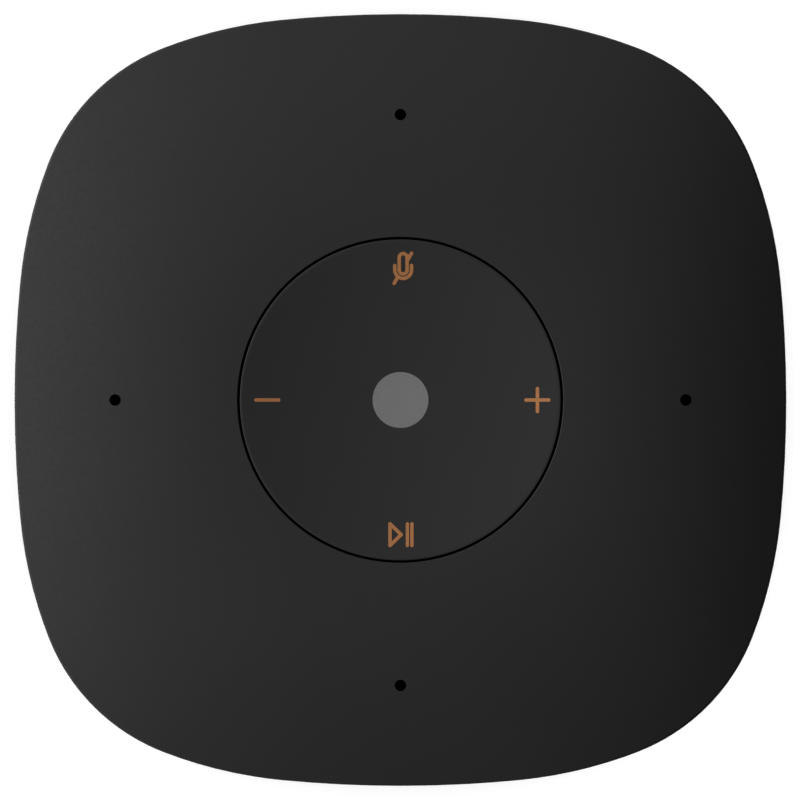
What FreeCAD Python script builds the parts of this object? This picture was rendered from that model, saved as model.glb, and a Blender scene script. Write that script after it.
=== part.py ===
"""Smart home hub: a rounded-square voice hub with a rocking control disc, as a parametric FreeCAD document.

Frame: millimetres, +Z up, origin at the middle of the surface the hub stands on. The front faces -Y and the
ports face +Y. Every driving size is a cell of the sheet Sizes, which expressions bind the objects to.
"""

import FreeCAD, Part
import math
import os
import re

import Sketcher

Vector = FreeCAD.Vector
doc = FreeCAD.newDocument("smart_home_hub")

# ------------------------------------------------------------------------------------------------------
# Driving dimensions, in millimetres and degrees
# ------------------------------------------------------------------------------------------------------
SIZES = {
    # outline: four wide side arcs, joined to four corner arcs by a shoulder arc each side of them
    "hub_half_width": 50.0,
    "hub_height": 48.0,
    "side_arc_radius": 160.0,
    "side_arc_angle": 5.5,
    "shoulder_arc_radius": 58.0,
    "corner_arc_radius": 26.0,
    # top cover: flat in the middle, then sloping ever more down to an upright rim
    "dome_drop": 4.6,
    "flat_half_width": 23.0,
    "flat_side_radius": 27.0,
    "flat_shoulder_radius": 23.5,
    "flat_corner_radius": 22.0,
    "cover_rim_height": 4.0,
    "cover_wall": 2.2,
    "cover_edge_fillet": 0.4,
    "opening_radius": 21.05,
    "opening_edge_fillet": 0.1,
    "small_boss_radius": 2.4,
    # microphone ports
    "mic_circle": 36.9,
    "mic_hole_radius": 0.75,
    "mic_boss_radius": 3.2,
    "mic_boss_bottom": 43.6,
    "mic_mesh_radius": 1.7,
    "mic_mesh_thickness": 0.15,
    "mic_gasket_radius": 2.6,
    "mic_gasket_bore": 0.8,
    "mic_length": 3.5,
    "mic_width": 2.65,
    "mic_height": 1.0,
    # control disc: a shallow dish, with a lens at its middle and four icons
    "disc_gap": 0.3,
    "disc_sink": 0.12,
    "disc_underside": 45.3,
    "disc_edge_fillet": 0.12,
    "dish_depth": 1.0,
    "dish_radius": 209.0,
    "lens_radius": 3.65,
    "lens_flange_radius": 4.6,
    "lens_flange_top": 46.0,
    "lens_bottom": 45.0,
    "lens_fit_gap": 0.03,
    "icon_stroke": 0.45,
    "icon_depth": 0.2,
    "icon_relief": 0.02,
    "icon_floor": 46.0,
    "icon_blank_height": 2.5,
    "icon_span": 3.4,
    "minus_x": 17.2,
    "plus_x": 17.7,
    "play_y": 17.4,
    "mute_x": 0.35,
    "mute_y": 17.1,
    # rocker mechanism
    "key_circle": 17.4,
    "post_radius": 1.6,
    "post_bottom": 42.5,
    "gimbal_axis": 42.9,
    "gimbal_thickness": 2.0,
    "gimbal_inner_radius": 9.2,
    "gimbal_outer_radius": 11.8,
    "trunnion_radius": 0.8,
    "bearing_radius": 0.85,
    "lug_inner": 6.8,
    "lug_thickness": 1.7,
    "lug_half_width": 1.7,
    "ear_inner": 12.5,
    "ear_thickness": 1.7,
    "frame_bottom": 41.0,
    "frame_thickness": 1.0,
    "frame_inner_radius": 12.4,
    "frame_outer_radius": 22.6,
    "frame_screw_circle": 25.5,
    "frame_arm_width": 6.0,
    "dome_hole_radius": 3.0,
    "dome_base_radius": 2.6,
    "dome_top_radius": 1.8,
    "dome_flange_radius": 2.9,
    "dome_flange_height": 0.4,
    "dome_height": 2.5,
    "dome_wall": 0.6,
    # top board and light
    "top_board_top": 39.9,
    "top_board_thickness": 1.2,
    "top_board_radius": 40.5,
    "top_board_screw_circle": 36.0,
    "top_board_screw_angle": 22.5,
    "led_size": 5.0,
    "led_height": 1.6,
    "led_cup_radius": 2.1,
    "led_cup_depth": 0.5,
    "shroud_inner_radius": 4.0,
    "shroud_outer_radius": 5.2,
    "shroud_top": 44.3,
    # main board
    "main_board_bottom": 32.0,
    "main_board_thickness": 1.6,
    "main_board_half_width": 44.0,
    "board_screw_x": 25.0,
    "board_screw_front_y": 22.0,
    "board_screw_rear_y": 16.0,
    "shield_size": 27.0,
    "shield_height": 2.2,
    "shield_wall": 0.2,
    "shield_y": -5.0,
    "thermal_pad_size": 20.0,
    "thermal_pad_height": 0.8,
    "spreader_length": 54.0,
    "spreader_width": 30.0,
    "spreader_thickness": 1.0,
    "fin_height": 0.6,
    "fin_width": 0.8,
    "antenna_x": 23.0,
    "antenna_y": -35.5,
    "antenna_length": 15.0,
    "antenna_width": 3.2,
    "antenna_height": 3.5,
    "antenna_sheet": 0.3,
    # flat cable between the boards
    "ribbon_width": 8.0,
    "ribbon_thickness": 0.25,
    "ribbon_socket_length": 12.0,
    "ribbon_socket_depth": 4.0,
    "ribbon_socket_height": 1.5,
    "ribbon_socket_y": -27.0,
    "ribbon_reach": 4.0,
    # screws
    "small_shank": 0.8,
    "small_pilot": 0.85,
    "small_head": 1.7,
    "small_head_height": 1.0,
    "board_shank": 1.0,
    "board_pilot": 1.05,
    "board_head": 1.9,
    "board_head_height": 1.2,
    "driver_shank": 0.9,
    "driver_pilot": 0.95,
    "driver_head": 1.8,
    "driver_head_height": 1.1,
    "case_shank": 1.45,
    "case_pilot": 1.5,
    "case_head": 2.7,
    "case_head_height": 0.6,
    "case_screw_length": 36.0,
    # case: cover, shell and base held by four long screws
    "case_screw_offset": 27.6,
    "case_boss_radius": 3.2,
    "case_hole_radius": 1.6,
    "case_recess_radius": 2.9,
    "case_screw_seat": 1.9,
    "case_boss_top": 45.6,
    "shell_top": 38.8,
    "shell_top_half_width": 49.0,
    "shell_bottom": 2.0,
    "shell_tuck": 9.5,
    "shell_tuck_power": 2.6,
    "shell_wall": 2.0,
    "lip_top": 41.0,
    "lip_root": 37.3,
    "lip_half_width": 47.5,
    "lip_wall": 1.2,
    "cloth_gap": 0.03,
    "cloth_thickness": 0.4,
    "cloth_bottom": 8.0,
    "cloth_top": 31.0,
    "base_bottom": 1.2,
    "base_flange_thickness": 0.8,
    "base_flange_half_width": 39.2,
    "base_plug_half_width": 37.2,
    "base_top": 3.4,
    "foot_outer_half_width": 29.5,
    "foot_inner_half_width": 25.0,
    "foot_height": 2.0,
    "foot_gap": 0.1,
    "cone_base_radius": 19.5,
    "cone_base_height": 0.4,
    "cone_height": 5.2,
    "cone_flank_radius": 40.0,
    "ballast_outer_radius": 32.5,
    "ballast_inner_radius": 20.5,
    "ballast_thickness": 2.2,
    # rear ports
    "window_half_width": 21.5,
    "window_bottom": 15.6,
    "window_top": 35.4,
    "window_corner": 3.5,
    "panel_gap": 0.15,
    "panel_sink": 0.12,
    "panel_lip": 1.5,
    "panel_lip_wall": 1.2,
    "jack_x": 8.0,
    "jack_width": 16.0,
    "jack_depth": 21.3,
    "jack_height": 13.4,
    "jack_face": 45.6,
    "jack_fit_gap": 0.15,
    "mouth_width": 11.8,
    "mouth_height": 7.4,
    "mouth_depth": 14.9,
    "mouth_sill": 3.6,
    "jack_light_x": 6.3,
    "usb_x": 7.5,
    "usb_face": 47.3,
    "usb_width": 8.94,
    "usb_height": 3.16,
    "usb_depth": 7.35,
    "usb_wall": 0.3,
    "usb_back": 1.2,
    "usb_fit_gap": 0.25,
    "tongue_width": 6.7,
    "tongue_length": 4.6,
    "tongue_thickness": 0.7,
    "button_x": 16.8,
    "button_z": 29.0,
    "button_radius": 2.0,
    "button_face": 47.35,
    "button_length": 4.9,
    "button_flange_radius": 2.8,
    "button_flange_length": 0.9,
    "button_edge_fillet": 0.35,
    "plunger_radius": 0.9,
    "plunger_length": 1.9,
    "switch_width": 6.0,
    "switch_depth": 4.0,
    "switch_height": 5.6,
    # speaker box
    "box_half_width": 33.0,
    "box_rear": 23.5,
    "box_round": 34.6,
    "box_bottom": 12.6,
    "box_wall": 1.8,
    "baffle_thickness": 2.2,
    "lid_bottom": 29.0,
    "lid_thickness": 1.5,
    "lid_rib_height": 1.5,
    "lid_rib_wall": 1.2,
    "lid_ear_radius": 3.8,
    # speaker driver
    "driver_radius": 22.4,
    "driver_screw_circle": 24.6,
    "driver_ear_radius": 2.4,
    "flange_bottom": 11.0,
    "flange_top": 12.0,
    "gasket_thickness": 0.6,
    "baffle_hole_radius": 20.6,
    "basket_wall": 1.0,
    "basket_neck_radius": 15.9,
    "basket_shoulder": 19.6,
    "basket_top": 21.0,
    "basket_deck": 20.2,
    "spider_seat": 18.8,
    "basket_window_width": 13.0,
    "basket_window_height": 4.2,
    "basket_window_bottom": 13.6,
    "top_plate_thickness": 1.5,
    "magnet_thickness": 3.5,
    "back_plate_thickness": 1.6,
    "plate_radius": 14.6,
    "magnet_radius": 15.0,
    "magnet_bore": 9.2,
    "plate_bore": 7.2,
    "pole_radius": 6.0,
    "pole_bottom": 21.2,
    "coil_radius": 6.8,
    "coil_wall": 0.5,
    "coil_bottom": 16.1,
    "coil_length": 7.9,
    "cone_top": 16.9,
    "cone_thickness": 0.6,
    "cone_edge_radius": 16.0,
    "cone_lip_radius": 17.2,
    "cone_lip_thickness": 0.4,
    "cone_flare": 30.0,
    "cap_drop": 1.5,
    "cap_radius": 16.0,
    "surround_inner": 16.2,
    "surround_outer": 20.4,
    "surround_thickness": 0.3,
    "spider_outer": 15.0,
    "spider_thickness": 0.3,
    # speaker leads
    "wire_diameter": 1.1,
    "wire_spacing": 1.6,
    "wire_x": 10.0,
    "wire_rise_y": -26.0,
    "wire_start_y": -16.3,
    "wire_end_y": -33.7,
    "wire_start_z": 22.2,
    "wire_end_height": 1.7,
    "wire_pocket_gap": 0.05,
    "terminal_width": 6.5,
    "terminal_depth": 3.0,
    "terminal_height": 2.4,
    "terminal_y": -15.7,
    "socket_depth": 5.5,
    "socket_height": 3.4,
    "socket_y": -35.25,
    "grommet_radius": 2.15,
    "grommet_collar": 2.9,
}

sheet = doc.addObject("Spreadsheet::Sheet", "Sizes")
for row, (alias, number) in enumerate(SIZES.items(), start=1):
    sheet.set(f"A{row}", alias)
    sheet.set(f"B{row}", str(number))
    sheet.setAlias(f"B{row}", alias)
doc.recompute()

ALIAS = re.compile(r"\b(" + "|".join(SIZES) + r")\b")
XY, XZ = "XY_Plane", "XZ_Plane"
QUARTERS = (0, 90, 180, 270)
DIAGONALS = (45, 135, 225, 315)
THROUGH = 4  # a drill length that passes any board or plate


# ------------------------------------------------------------------------------------------------------
# Helpers: every size is a text such as "hub_height - cover_wall", which an expression binds to the sheet
# ------------------------------------------------------------------------------------------------------
def sized(text):
    """The text as a FreeCAD expression, with each alias taken from the sheet."""
    return ALIAS.sub(r"Sizes.\1", str(text))


def value(text):
    """The number that a size text has now."""
    number = sheet.evalExpression(sized(text))
    return float(getattr(number, "Value", number))


def bind(thing, **texts):
    for name, text in texts.items():
        thing.setExpression(name, sized(text))
    return thing


def place(thing, x=0, y=0, z=0, turn=None):
    """Binds a placement. turn is (axis, degrees)."""
    if turn:
        thing.Placement = FreeCAD.Placement(Vector(), FreeCAD.Rotation(Vector(*turn[0]), turn[1]))
    for name, text in (("x", x), ("y", y), ("z", z)):
        thing.setExpression(f"Placement.Base.{name}", sized(text))
    return thing


def block(length, width, height, x=0, y=0, z=0, spin=0):
    """A box centred on x and y, standing on z, turned by spin degrees about its own middle."""
    made = bind(doc.addObject("Part::Box", "block"), Length=length, Width=width, Height=height)
    across, along = math.cos(math.radians(spin)) / 2, math.sin(math.radians(spin)) / 2
    corner_x = f"({x}) - ({length}) * {across} + ({width}) * {along}"
    corner_y = f"({y}) - ({length}) * {along} - ({width}) * {across}"
    return place(made, corner_x, corner_y, z, ((0, 0, 1), spin))


def deep_block(width, height, front, back, x, z):
    """A box that runs along Y from back to front, centred on x, standing on z."""
    depth = f"({front}) - ({back})"
    return block(width, depth, height, x, f"({back}) + ({depth}) / 2", z)


UP, ALONG_X, ALONG_Y, AGAINST_Y = None, ((0, 1, 0), 90), ((1, 0, 0), -90), ((1, 0, 0), 90)


def rod(radius, length, x=0, y=0, z=0, turn=UP):
    """A cylinder that starts at the point and runs along +Z, or the way that turn gives."""
    made = bind(doc.addObject("Part::Cylinder", "rod"), Radius=radius, Height=length)
    return place(made, x, y, z, turn)


def taper(low_radius, high_radius, height, x=0, y=0, z=0):
    made = doc.addObject("Part::Cone", "taper")
    return place(bind(made, Radius1=low_radius, Radius2=high_radius, Height=height), x, y, z)


def ball(radius, x=0, y=0, z=0):
    return place(bind(doc.addObject("Part::Sphere", "ball"), Radius=radius), x, y, z)


def fuse(*shapes):
    made = doc.addObject("Part::MultiFuse", "fuse")
    made.Shapes = list(shapes)
    return made


def cut(base, *tools):
    made = doc.addObject("Part::Cut", "cut")
    made.Base = base
    made.Tool = tools[0] if len(tools) == 1 else fuse(*tools)
    return made


def common(first, second):
    made = doc.addObject("Part::Common", "common")
    made.Base, made.Tool = first, second
    return made


def group(*shapes):
    """Separate solids that share one node."""
    made = doc.addObject("Part::Compound", "group")
    made.Links = list(shapes)
    return made


def tube(outer, inner, length, x=0, y=0, z=0, turn=UP):
    return cut(rod(outer, length, x, y, z, turn), rod(inner, length, x, y, z, turn))


def ring_point(radius, degrees):
    """The x and y texts of a point at this radius and angle."""
    return f"({radius}) * cos({degrees})", f"({radius}) * sin({degrees})"


def ring_points(radius, angles):
    return [ring_point(radius, angle) for angle in angles]


def fillet(base, radius, wanted):
    """Rounds the edges of base that the test wanted picks."""
    doc.recompute()
    size = value(radius)
    picked = [n for n, edge in enumerate(base.Shape.Edges, start=1) if wanted(edge)]
    if not picked:
        raise RuntimeError(f"no edge to round on {base.Label}")
    made = doc.addObject("Part::Fillet", "fillet")
    made.Base = base
    made.Edges = [(n, size, size) for n in picked]
    return made


def upright(edge):
    return all(abs(edge.tangentAt(p).z) > 0.999 for p in edge.ParameterRange)


def along_y(edge):
    return all(abs(edge.tangentAt(p).y) > 0.999 for p in edge.ParameterRange)


def origin_plane(body, role):
    return next(f for f in body.Origin.OriginFeatures if f.Role == role)


def new_sketch(body, role=XY, height=0):
    sketch = body.newObject("Sketcher::SketchObject", "outline")
    sketch.AttachmentSupport = [(origin_plane(body, role), "")]
    sketch.MapMode = "FlatFace"
    sketch.setExpression("AttachmentOffset.Base.z", sized(height))
    return sketch


def drive(sketch, constraint, text):
    """Adds a constraint whose size follows the text."""
    number = sketch.addConstraint(constraint)
    sketch.setExpression(f"Constraints[{number}]", sized(text))


ARC_RADII = ("side_arc_radius", "shoulder_arc_radius", "corner_arc_radius")
FLAT_OUTLINE = ("flat_half_width", "flat_side_radius", "flat_shoulder_radius", "flat_corner_radius")


def squircle(body, half_width, radii, height):
    """A sketch of four side arcs, eight shoulder arcs and four corner arcs, tangent all round."""
    sketch = new_sketch(body, XY, height)
    side, shoulder, corner = [value(text) for text in radii]
    middle, reach = value(half_width) - side, math.radians(value("side_arc_angle"))
    turned = FreeCAD.Rotation(Vector(0, 0, 1), math.degrees(reach))
    shoulder_at = Vector(middle, 0, 0) + turned.multVec(Vector(side - shoulder, 0, 0))
    lean = (shoulder_at.y - shoulder_at.x) / (math.sqrt(2) * (shoulder - corner))
    turn = math.acos(lean) - math.pi / 4
    corner_at = shoulder_at.x + (shoulder - corner) * math.cos(turn)
    right = math.pi / 2
    arcs = []
    for quarter in range(4):
        turned = FreeCAD.Rotation(Vector(0, 0, 1), 90 * quarter)
        for centre, radius, first, last in (
            (Vector(middle, 0, 0), side, -reach, reach),
            (shoulder_at, shoulder, reach, turn),
            (Vector(corner_at, corner_at, 0), corner, turn, right - turn),
            (Vector(shoulder_at.y, shoulder_at.x, 0), shoulder, right - turn, right - reach),
        ):
            circle = Part.Circle(turned.multVec(centre), Vector(0, 0, 1), radius)
            arcs.append(Part.ArcOfCircle(circle, quarter * right + first, quarter * right + last))
    sketch.addGeometry(arcs, False)
    joins = [Sketcher.Constraint("Tangent", n, 2, (n + 1) % 16, 1) for n in range(16)]
    same = [Sketcher.Constraint("Equal", 1 if n % 2 else n % 4, n) for n in range(3, 16)]
    sketch.addConstraint(joins + same)
    for arc, axis, across, way in ((0, "X", "Y", 1), (4, "Y", "X", 1), (8, "X", "Y", -1), (12, "Y", "X", -1)):
        sketch.addConstraint(Sketcher.Constraint("Symmetric", arc, 1, arc, 2, -1 if axis == "X" else -2))
        offset = f"{way} * (({half_width}) - ({radii[0]}))"
        drive(sketch, Sketcher.Constraint(f"Distance{axis}", arc, 3, way * middle), offset)
        end, side_way = side * math.sin(reach), way if axis == "X" else -way
        offset = f"{side_way} * ({radii[0]}) * sin(side_arc_angle)"
        drive(sketch, Sketcher.Constraint(f"Distance{across}", arc, 2, side_way * end), offset)
    for arc, radius in enumerate(radii):
        drive(sketch, Sketcher.Constraint("Radius", arc, value(radius)), radius)
    return sketch


def inset_squircle(body, half_width, height):
    """The hub's own outline, drawn parallel at this half width."""
    step = f"(hub_half_width - ({half_width}))"
    return squircle(body, half_width, [f"{name} - {step}" for name in ARC_RADII], height)


def pad(body, sketch, length):
    made = body.newObject("PartDesign::Pad", "pad")
    made.Profile = sketch
    return bind(made, Length=length)


def loft(body, sections):
    made = body.newObject("PartDesign::AdditiveLoft", "loft")
    made.Profile, made.Sections = sections[0], sections[1:]
    return made


def squircle_plate(half_width, thickness, height):
    body = doc.addObject("PartDesign::Body", "plate")
    pad(body, inset_squircle(body, half_width, height), thickness)
    return body


def squircle_ring(outer, inner, thickness, height):
    return cut(squircle_plate(outer, thickness, height), squircle_plate(inner, thickness, height))


def arc_between(start, end, radius):
    """The arc from start to end, turning left for a positive radius and right for a negative one."""
    chord = end - start
    left = Vector(-chord.y, chord.x, 0).normalize()
    rise = math.sqrt(radius**2 - (chord.Length / 2) ** 2)
    centre = (start + end) * 0.5 + left * (rise if radius > 0 else -rise)
    first, last = (start, end) if radius > 0 else (end, start)
    angles = [math.atan2(p.y - centre.y, p.x - centre.x) for p in (first, last)]
    return Part.ArcOfCircle(Part.Circle(centre, Vector(0, 0, 1), abs(radius)), *angles)


def revolved(points):
    """A body turned about Z. Each point is (r, z), or (r, z, radius) where an arc leads to it."""
    body = doc.addObject("PartDesign::Body", "turned")
    sketch = new_sketch(body, XZ)
    spots = [Vector(value(p[0]), value(p[1]), 0) for p in points]
    ends = []
    for n, point in enumerate(points):
        start, end = spots[n - 1], spots[n]
        bent = value(point[2]) if len(point) > 2 else 0
        edge = arc_between(start, end, bent) if bent else Part.LineSegment(start, end)
        index = sketch.addGeometry(edge, False)
        ends.append((index, (2, 1) if bent < 0 else (1, 2)))
        if bent:
            drive(sketch, Sketcher.Constraint("Radius", index, abs(bent)), f"abs({point[2]})")
    for n, point in enumerate(points):
        (index, (_, tip)), (following, (tail, _)) = ends[n], ends[(n + 1) % len(ends)]
        sketch.addConstraint(Sketcher.Constraint("Coincident", index, tip, following, tail))
        for axis, line, text in (("X", -2, point[0]), ("Y", -1, point[1])):
            number = value(text)
            if abs(number) < 1e-9:
                sketch.addConstraint(Sketcher.Constraint("PointOnObject", index, tip, line))
            else:
                drive(sketch, Sketcher.Constraint(f"Distance{axis}", index, tip, number), text)
    made = body.newObject("PartDesign::Revolution", "turn")
    made.Profile = sketch
    made.ReferenceAxis = (sketch, ["V_Axis"])
    made.Angle = 360
    return body


subparts = []


def part(label, made):
    """Names a finished sub-part. The label names its file."""
    made.Label = label
    subparts.append(made)


RECESS_LONG, RECESS_SHORT, RECESS_DEEP = 1.1, 0.28, 0.55  # of the head's radius, and of its height


def screw(size, x, y, seat, length, way=1):
    """A cross-recess screw. Its head lies under seat and its shank runs up, or down for way -1."""
    head, head_height, shank = f"{size}_head", f"{size}_head_height", f"{size}_shank"
    if way > 0:
        head_z, shank_z, recess_z = f"({seat}) - {head_height}", seat, f"({seat}) - {head_height}"
    else:
        head_z, shank_z = seat, f"({seat}) - ({length})"
        recess_z = f"({seat}) + {head_height} * (1 - {RECESS_DEEP})"
    body = fuse(rod(head, head_height, x, y, head_z), rod(shank, length, x, y, shank_z))
    slots = [
        block(f"{head} * {long}", f"{head} * {wide}", f"{head_height} * {RECESS_DEEP}", x, y, recess_z)
        for long, wide in ((RECESS_LONG, RECESS_SHORT), (RECESS_SHORT, RECESS_LONG))
    ]
    return cut(body, *slots)


# ------------------------------------------------------------------------------------------------------
# Places that several sub-parts share
# ------------------------------------------------------------------------------------------------------
DISC_TOP = "(hub_height - disc_sink)"
DISC_RADIUS = "(opening_radius - disc_gap)"
FRAME_TOP = "(frame_bottom + frame_thickness)"
TOP_BOARD_BOTTOM = "(top_board_top - top_board_thickness)"
BOARD_TOP = "(main_board_bottom + main_board_thickness)"
LID_TOP = "(lid_bottom + lid_thickness)"
MIC_SPOTS = ring_points("mic_circle", QUARTERS)
KEY_SPOTS = ring_points("key_circle", QUARTERS)
TOP_BOARD_SCREWS = [ring_point("top_board_screw_circle", f"top_board_screw_angle + {a}") for a in QUARTERS]
FRAME_SCREWS = ring_points("frame_screw_circle", DIAGONALS)
CASE_CIRCLE = f"case_screw_offset * {math.sqrt(2)}"
CASE_SCREWS = ring_points(CASE_CIRCLE, DIAGONALS)
DRIVER_SCREWS = ring_points("driver_screw_circle", DIAGONALS)
BOARD_SCREWS = [
    (f"{side} * board_screw_x", y)
    for side in (-1, 1)
    for y in ("-board_screw_front_y", "board_screw_rear_y")
]


# ------------------------------------------------------------------------------------------------------
# Top cover
# ------------------------------------------------------------------------------------------------------
DOME_STEPS = 4


def domed_body(inset):
    """The cover's outer form, or with an inset its cavity, which is also lower by that much."""
    body = doc.addObject("PartDesign::Body", "domed")
    rim = inset_squircle(body, f"hub_half_width - {inset}", "hub_height - dome_drop - cover_rim_height")
    pad(body, rim, f"cover_rim_height - {inset}")
    sections = []
    for step in range(DOME_STEPS, -1, -1):
        share = step / DOME_STEPS
        half_width, *radii = [
            f"{middle} + ({rim_size} - {inset} - {middle}) * {share}"
            for middle, rim_size in zip(FLAT_OUTLINE, ("hub_half_width", *ARC_RADII))
        ]
        sections.append(squircle(body, half_width, radii, f"hub_height - {inset} - dome_drop * {share**2}"))
    loft(body, sections)
    return body


def rim_edge(edge):
    top = value("hub_height - dome_drop")
    return all(abs(v.Z - top) < 1e-4 for v in edge.Vertexes) and edge.Length > 5


def opening_edge(edge):
    top, radius = value("hub_height"), value("opening_radius")
    curved = hasattr(edge.Curve, "Radius") and abs(edge.Curve.Radius - radius) < 1e-3
    return curved and abs(edge.Vertexes[0].Z - top) < 1e-3


def make_top_cover():
    shell = cut(fillet(domed_body("0"), "cover_edge_fillet", rim_edge), domed_body("cover_wall"))
    opened = cut(shell, rod("opening_radius", "hub_height", z="mic_boss_bottom"))
    opened = fillet(opened, "opening_edge_fillet", opening_edge)
    bosses, holes = [], []
    for x, y in MIC_SPOTS:
        bosses.append(rod("mic_boss_radius", 1.9, x, y, "mic_boss_bottom"))
        holes.append(rod("mic_hole_radius", 8, x, y, "mic_boss_bottom - 1"))
        holes.append(rod("mic_mesh_radius", "mic_mesh_thickness", x, y, "mic_boss_bottom"))
    for x, y in TOP_BOARD_SCREWS:
        bosses.append(rod("small_boss_radius", 6.1, x, y, "top_board_top"))
        holes.append(rod("small_pilot", 4.5, x, y, "top_board_top"))
    for x, y in FRAME_SCREWS:
        bosses.append(rod("small_boss_radius", 4.4, x, y, FRAME_TOP))
        holes.append(rod("small_pilot", 3.7, x, y, FRAME_TOP))
    for x, y in CASE_SCREWS:
        bosses.append(rod("case_boss_radius", f"case_boss_top - {LID_TOP}", x, y, LID_TOP))
        holes.append(rod("case_pilot", 11, x, y, LID_TOP))
    part("top_cover", cut(fuse(opened, *bosses), *holes))
    mesh_radius, mesh_thickness = "mic_mesh_radius - 0.05", "mic_mesh_thickness - 0.02"
    meshes = [rod(mesh_radius, mesh_thickness, x, y, "mic_boss_bottom") for x, y in MIC_SPOTS]
    part("mic_dust_meshes", group(*meshes))


# ------------------------------------------------------------------------------------------------------
# Control disc, its icons and its light
# ------------------------------------------------------------------------------------------------------
def under_dish(lower):
    """All of the disc's blank that lies under its concave face, lowered by this much."""
    blank = rod(DISC_RADIUS, 6, z="icon_floor - 3")
    return cut(blank, ball("dish_radius", z=f"{DISC_TOP} - dish_depth + dish_radius - ({lower})"))


def stroke(length, x, y, degrees=0, width="icon_stroke"):
    """A bar with round ends, centred on x and y and tall enough to cross the disc's face."""
    bar = fuse(
        block(length, width, "icon_blank_height"),
        rod(f"({width}) / 2", "icon_blank_height", f"({length}) / 2"),
        rod(f"({width}) / 2", "icon_blank_height", f"-({length}) / 2"),
    )
    return place(bar, x, y, "icon_floor", ((0, 0, 1), degrees))


def draw_minus():
    return stroke("icon_span - icon_stroke", "-minus_x", 0)


def draw_plus():
    return fuse(*[stroke("icon_span - icon_stroke", "plus_x", 0, turn) for turn in (0, 90)])


def draw_play_pause():
    """A triangle outline beside two bars."""
    tall, wide, left = 2.8, 1.45, -1.35
    bar_xs, bar_width = (0.9, 1.48), "icon_stroke * 0.95"
    slope = math.degrees(math.atan2(tall / 2, wide))
    sides = [stroke(tall, left, "-play_y", 90)]
    for way in (-1, 1):
        middle_y = f"-play_y + {way * tall / 4}"
        sides.append(stroke(math.hypot(wide, tall / 2), left + wide / 2, middle_y, -way * slope))
    bars = [stroke(tall, x, "-play_y", 90, bar_width) for x in bar_xs]
    return fuse(*sides, *bars)


def draw_mute():
    """A microphone capsule in its cradle, crossed by a slash that is broken where it meets them."""
    capsule_length, capsule_width, capsule_y = 1.62, 1.47, "mute_y + 0.5"
    cradle_radius, arm_length, cradle_y = 1.31, 0.57, "mute_y - 0.3"
    slash_turn, slash_length, slash_ends = 60, 0.92, ((-0.93, -1.62), (0.86, 1.47))
    web_length, web_x, web_y, web_turn = 0.35, 0.66, 1.3, 75
    capsule = cut(
        stroke(capsule_length, "mute_x", capsule_y, 90, capsule_width),
        stroke(capsule_length, "mute_x", capsule_y, 90, f"{capsule_width} - 2 * icon_stroke"),
    )
    height, floor, hoop_inner = "icon_blank_height", "icon_floor", f"{cradle_radius} - icon_stroke"
    hoop = tube(cradle_radius, hoop_inner, height, "mute_x", cradle_y, floor)
    lower_y = f"{cradle_y} - {cradle_radius / 2}"
    lower_half = block(2 * cradle_radius, cradle_radius, height, "mute_x", lower_y, floor)
    strokes = [stroke(web_length, f"mute_x + {web_x}", f"mute_y + {web_y}", web_turn)]
    for way in (-1, 1):
        arm_x = f"mute_x + {way} * ({cradle_radius} - icon_stroke / 2)"
        strokes.append(stroke(arm_length, arm_x, f"{cradle_y} + {arm_length / 2}", 90))
    for x, y in slash_ends:
        strokes.append(stroke(slash_length, f"mute_x + {x}", f"mute_y + {y}", slash_turn))
    return fuse(capsule, common(hoop, lower_half), *strokes)


ICONS = {
    "mute_icon": draw_mute,
    "play_pause_icon": draw_play_pause,
    "volume_down_icon": draw_minus,
    "volume_up_icon": draw_plus,
}


def make_control_disc():
    doc.recompute()
    top, edge_length = value(DISC_TOP), 2 * math.pi * value(DISC_RADIUS)
    rim = lambda edge: abs(edge.Vertexes[0].Z - top) < 1e-6 and abs(edge.Length - edge_length) < 1e-3
    blank = rod(DISC_RADIUS, f"{DISC_TOP} - disc_underside", z="disc_underside")
    dished = common(fillet(blank, "disc_edge_fillet", rim), under_dish("0"))
    root = 0.3  # how far the posts and lugs run into the disc
    post_height = f"disc_underside - post_bottom + {root}"
    posts = [rod("post_radius", post_height, x, y, "post_bottom") for x, y in KEY_SPOTS]
    lugs, cuts = [], []
    for way in (-1, 1):
        start = "lug_inner" if way > 0 else "-lug_inner - lug_thickness"
        middle = f"{way} * (lug_inner + lug_thickness / 2)"
        rise = f"disc_underside - gimbal_axis + {root}"
        lugs.append(rod("lug_half_width", "lug_thickness", 0, start, "gimbal_axis", ALONG_Y))
        lugs.append(block("2 * lug_half_width", "lug_thickness", rise, 0, middle, "gimbal_axis"))
        cuts.append(rod("bearing_radius", "lug_thickness", 0, start, "gimbal_axis", ALONG_Y))
    cuts.append(rod("lens_radius", 4, z="disc_underside"))
    cuts.append(rod("lens_flange_radius", "lens_flange_top - lens_bottom", z="lens_bottom"))
    for label, draw in ICONS.items():
        glyph = draw()
        cuts.append(cut(glyph, under_dish("icon_depth")))
        part(label, cut(common(glyph, under_dish("-icon_relief")), under_dish("icon_depth")))
    part("control_disc", cut(fuse(dished, *posts, *lugs), *cuts))


def make_light():
    flange = rod("lens_flange_radius - lens_fit_gap", "lens_flange_top - lens_bottom", z="lens_bottom")
    plug = rod("lens_radius - lens_fit_gap", 2.5, z="lens_bottom")
    part("light_lens", common(fuse(flange, plug), under_dish("0")))
    shroud_height = "shroud_top - top_board_top"
    shroud = tube("shroud_outer_radius", "shroud_inner_radius", shroud_height, z="top_board_top")
    part("light_shroud", shroud)
    led = block("led_size", "led_size", "led_height", z="top_board_top")
    cup_bottom = "top_board_top + led_height - led_cup_depth"
    cup = taper("led_cup_radius - led_cup_depth", "led_cup_radius", "led_cup_depth", z=cup_bottom)
    part("status_led", cut(led, cup))


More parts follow.
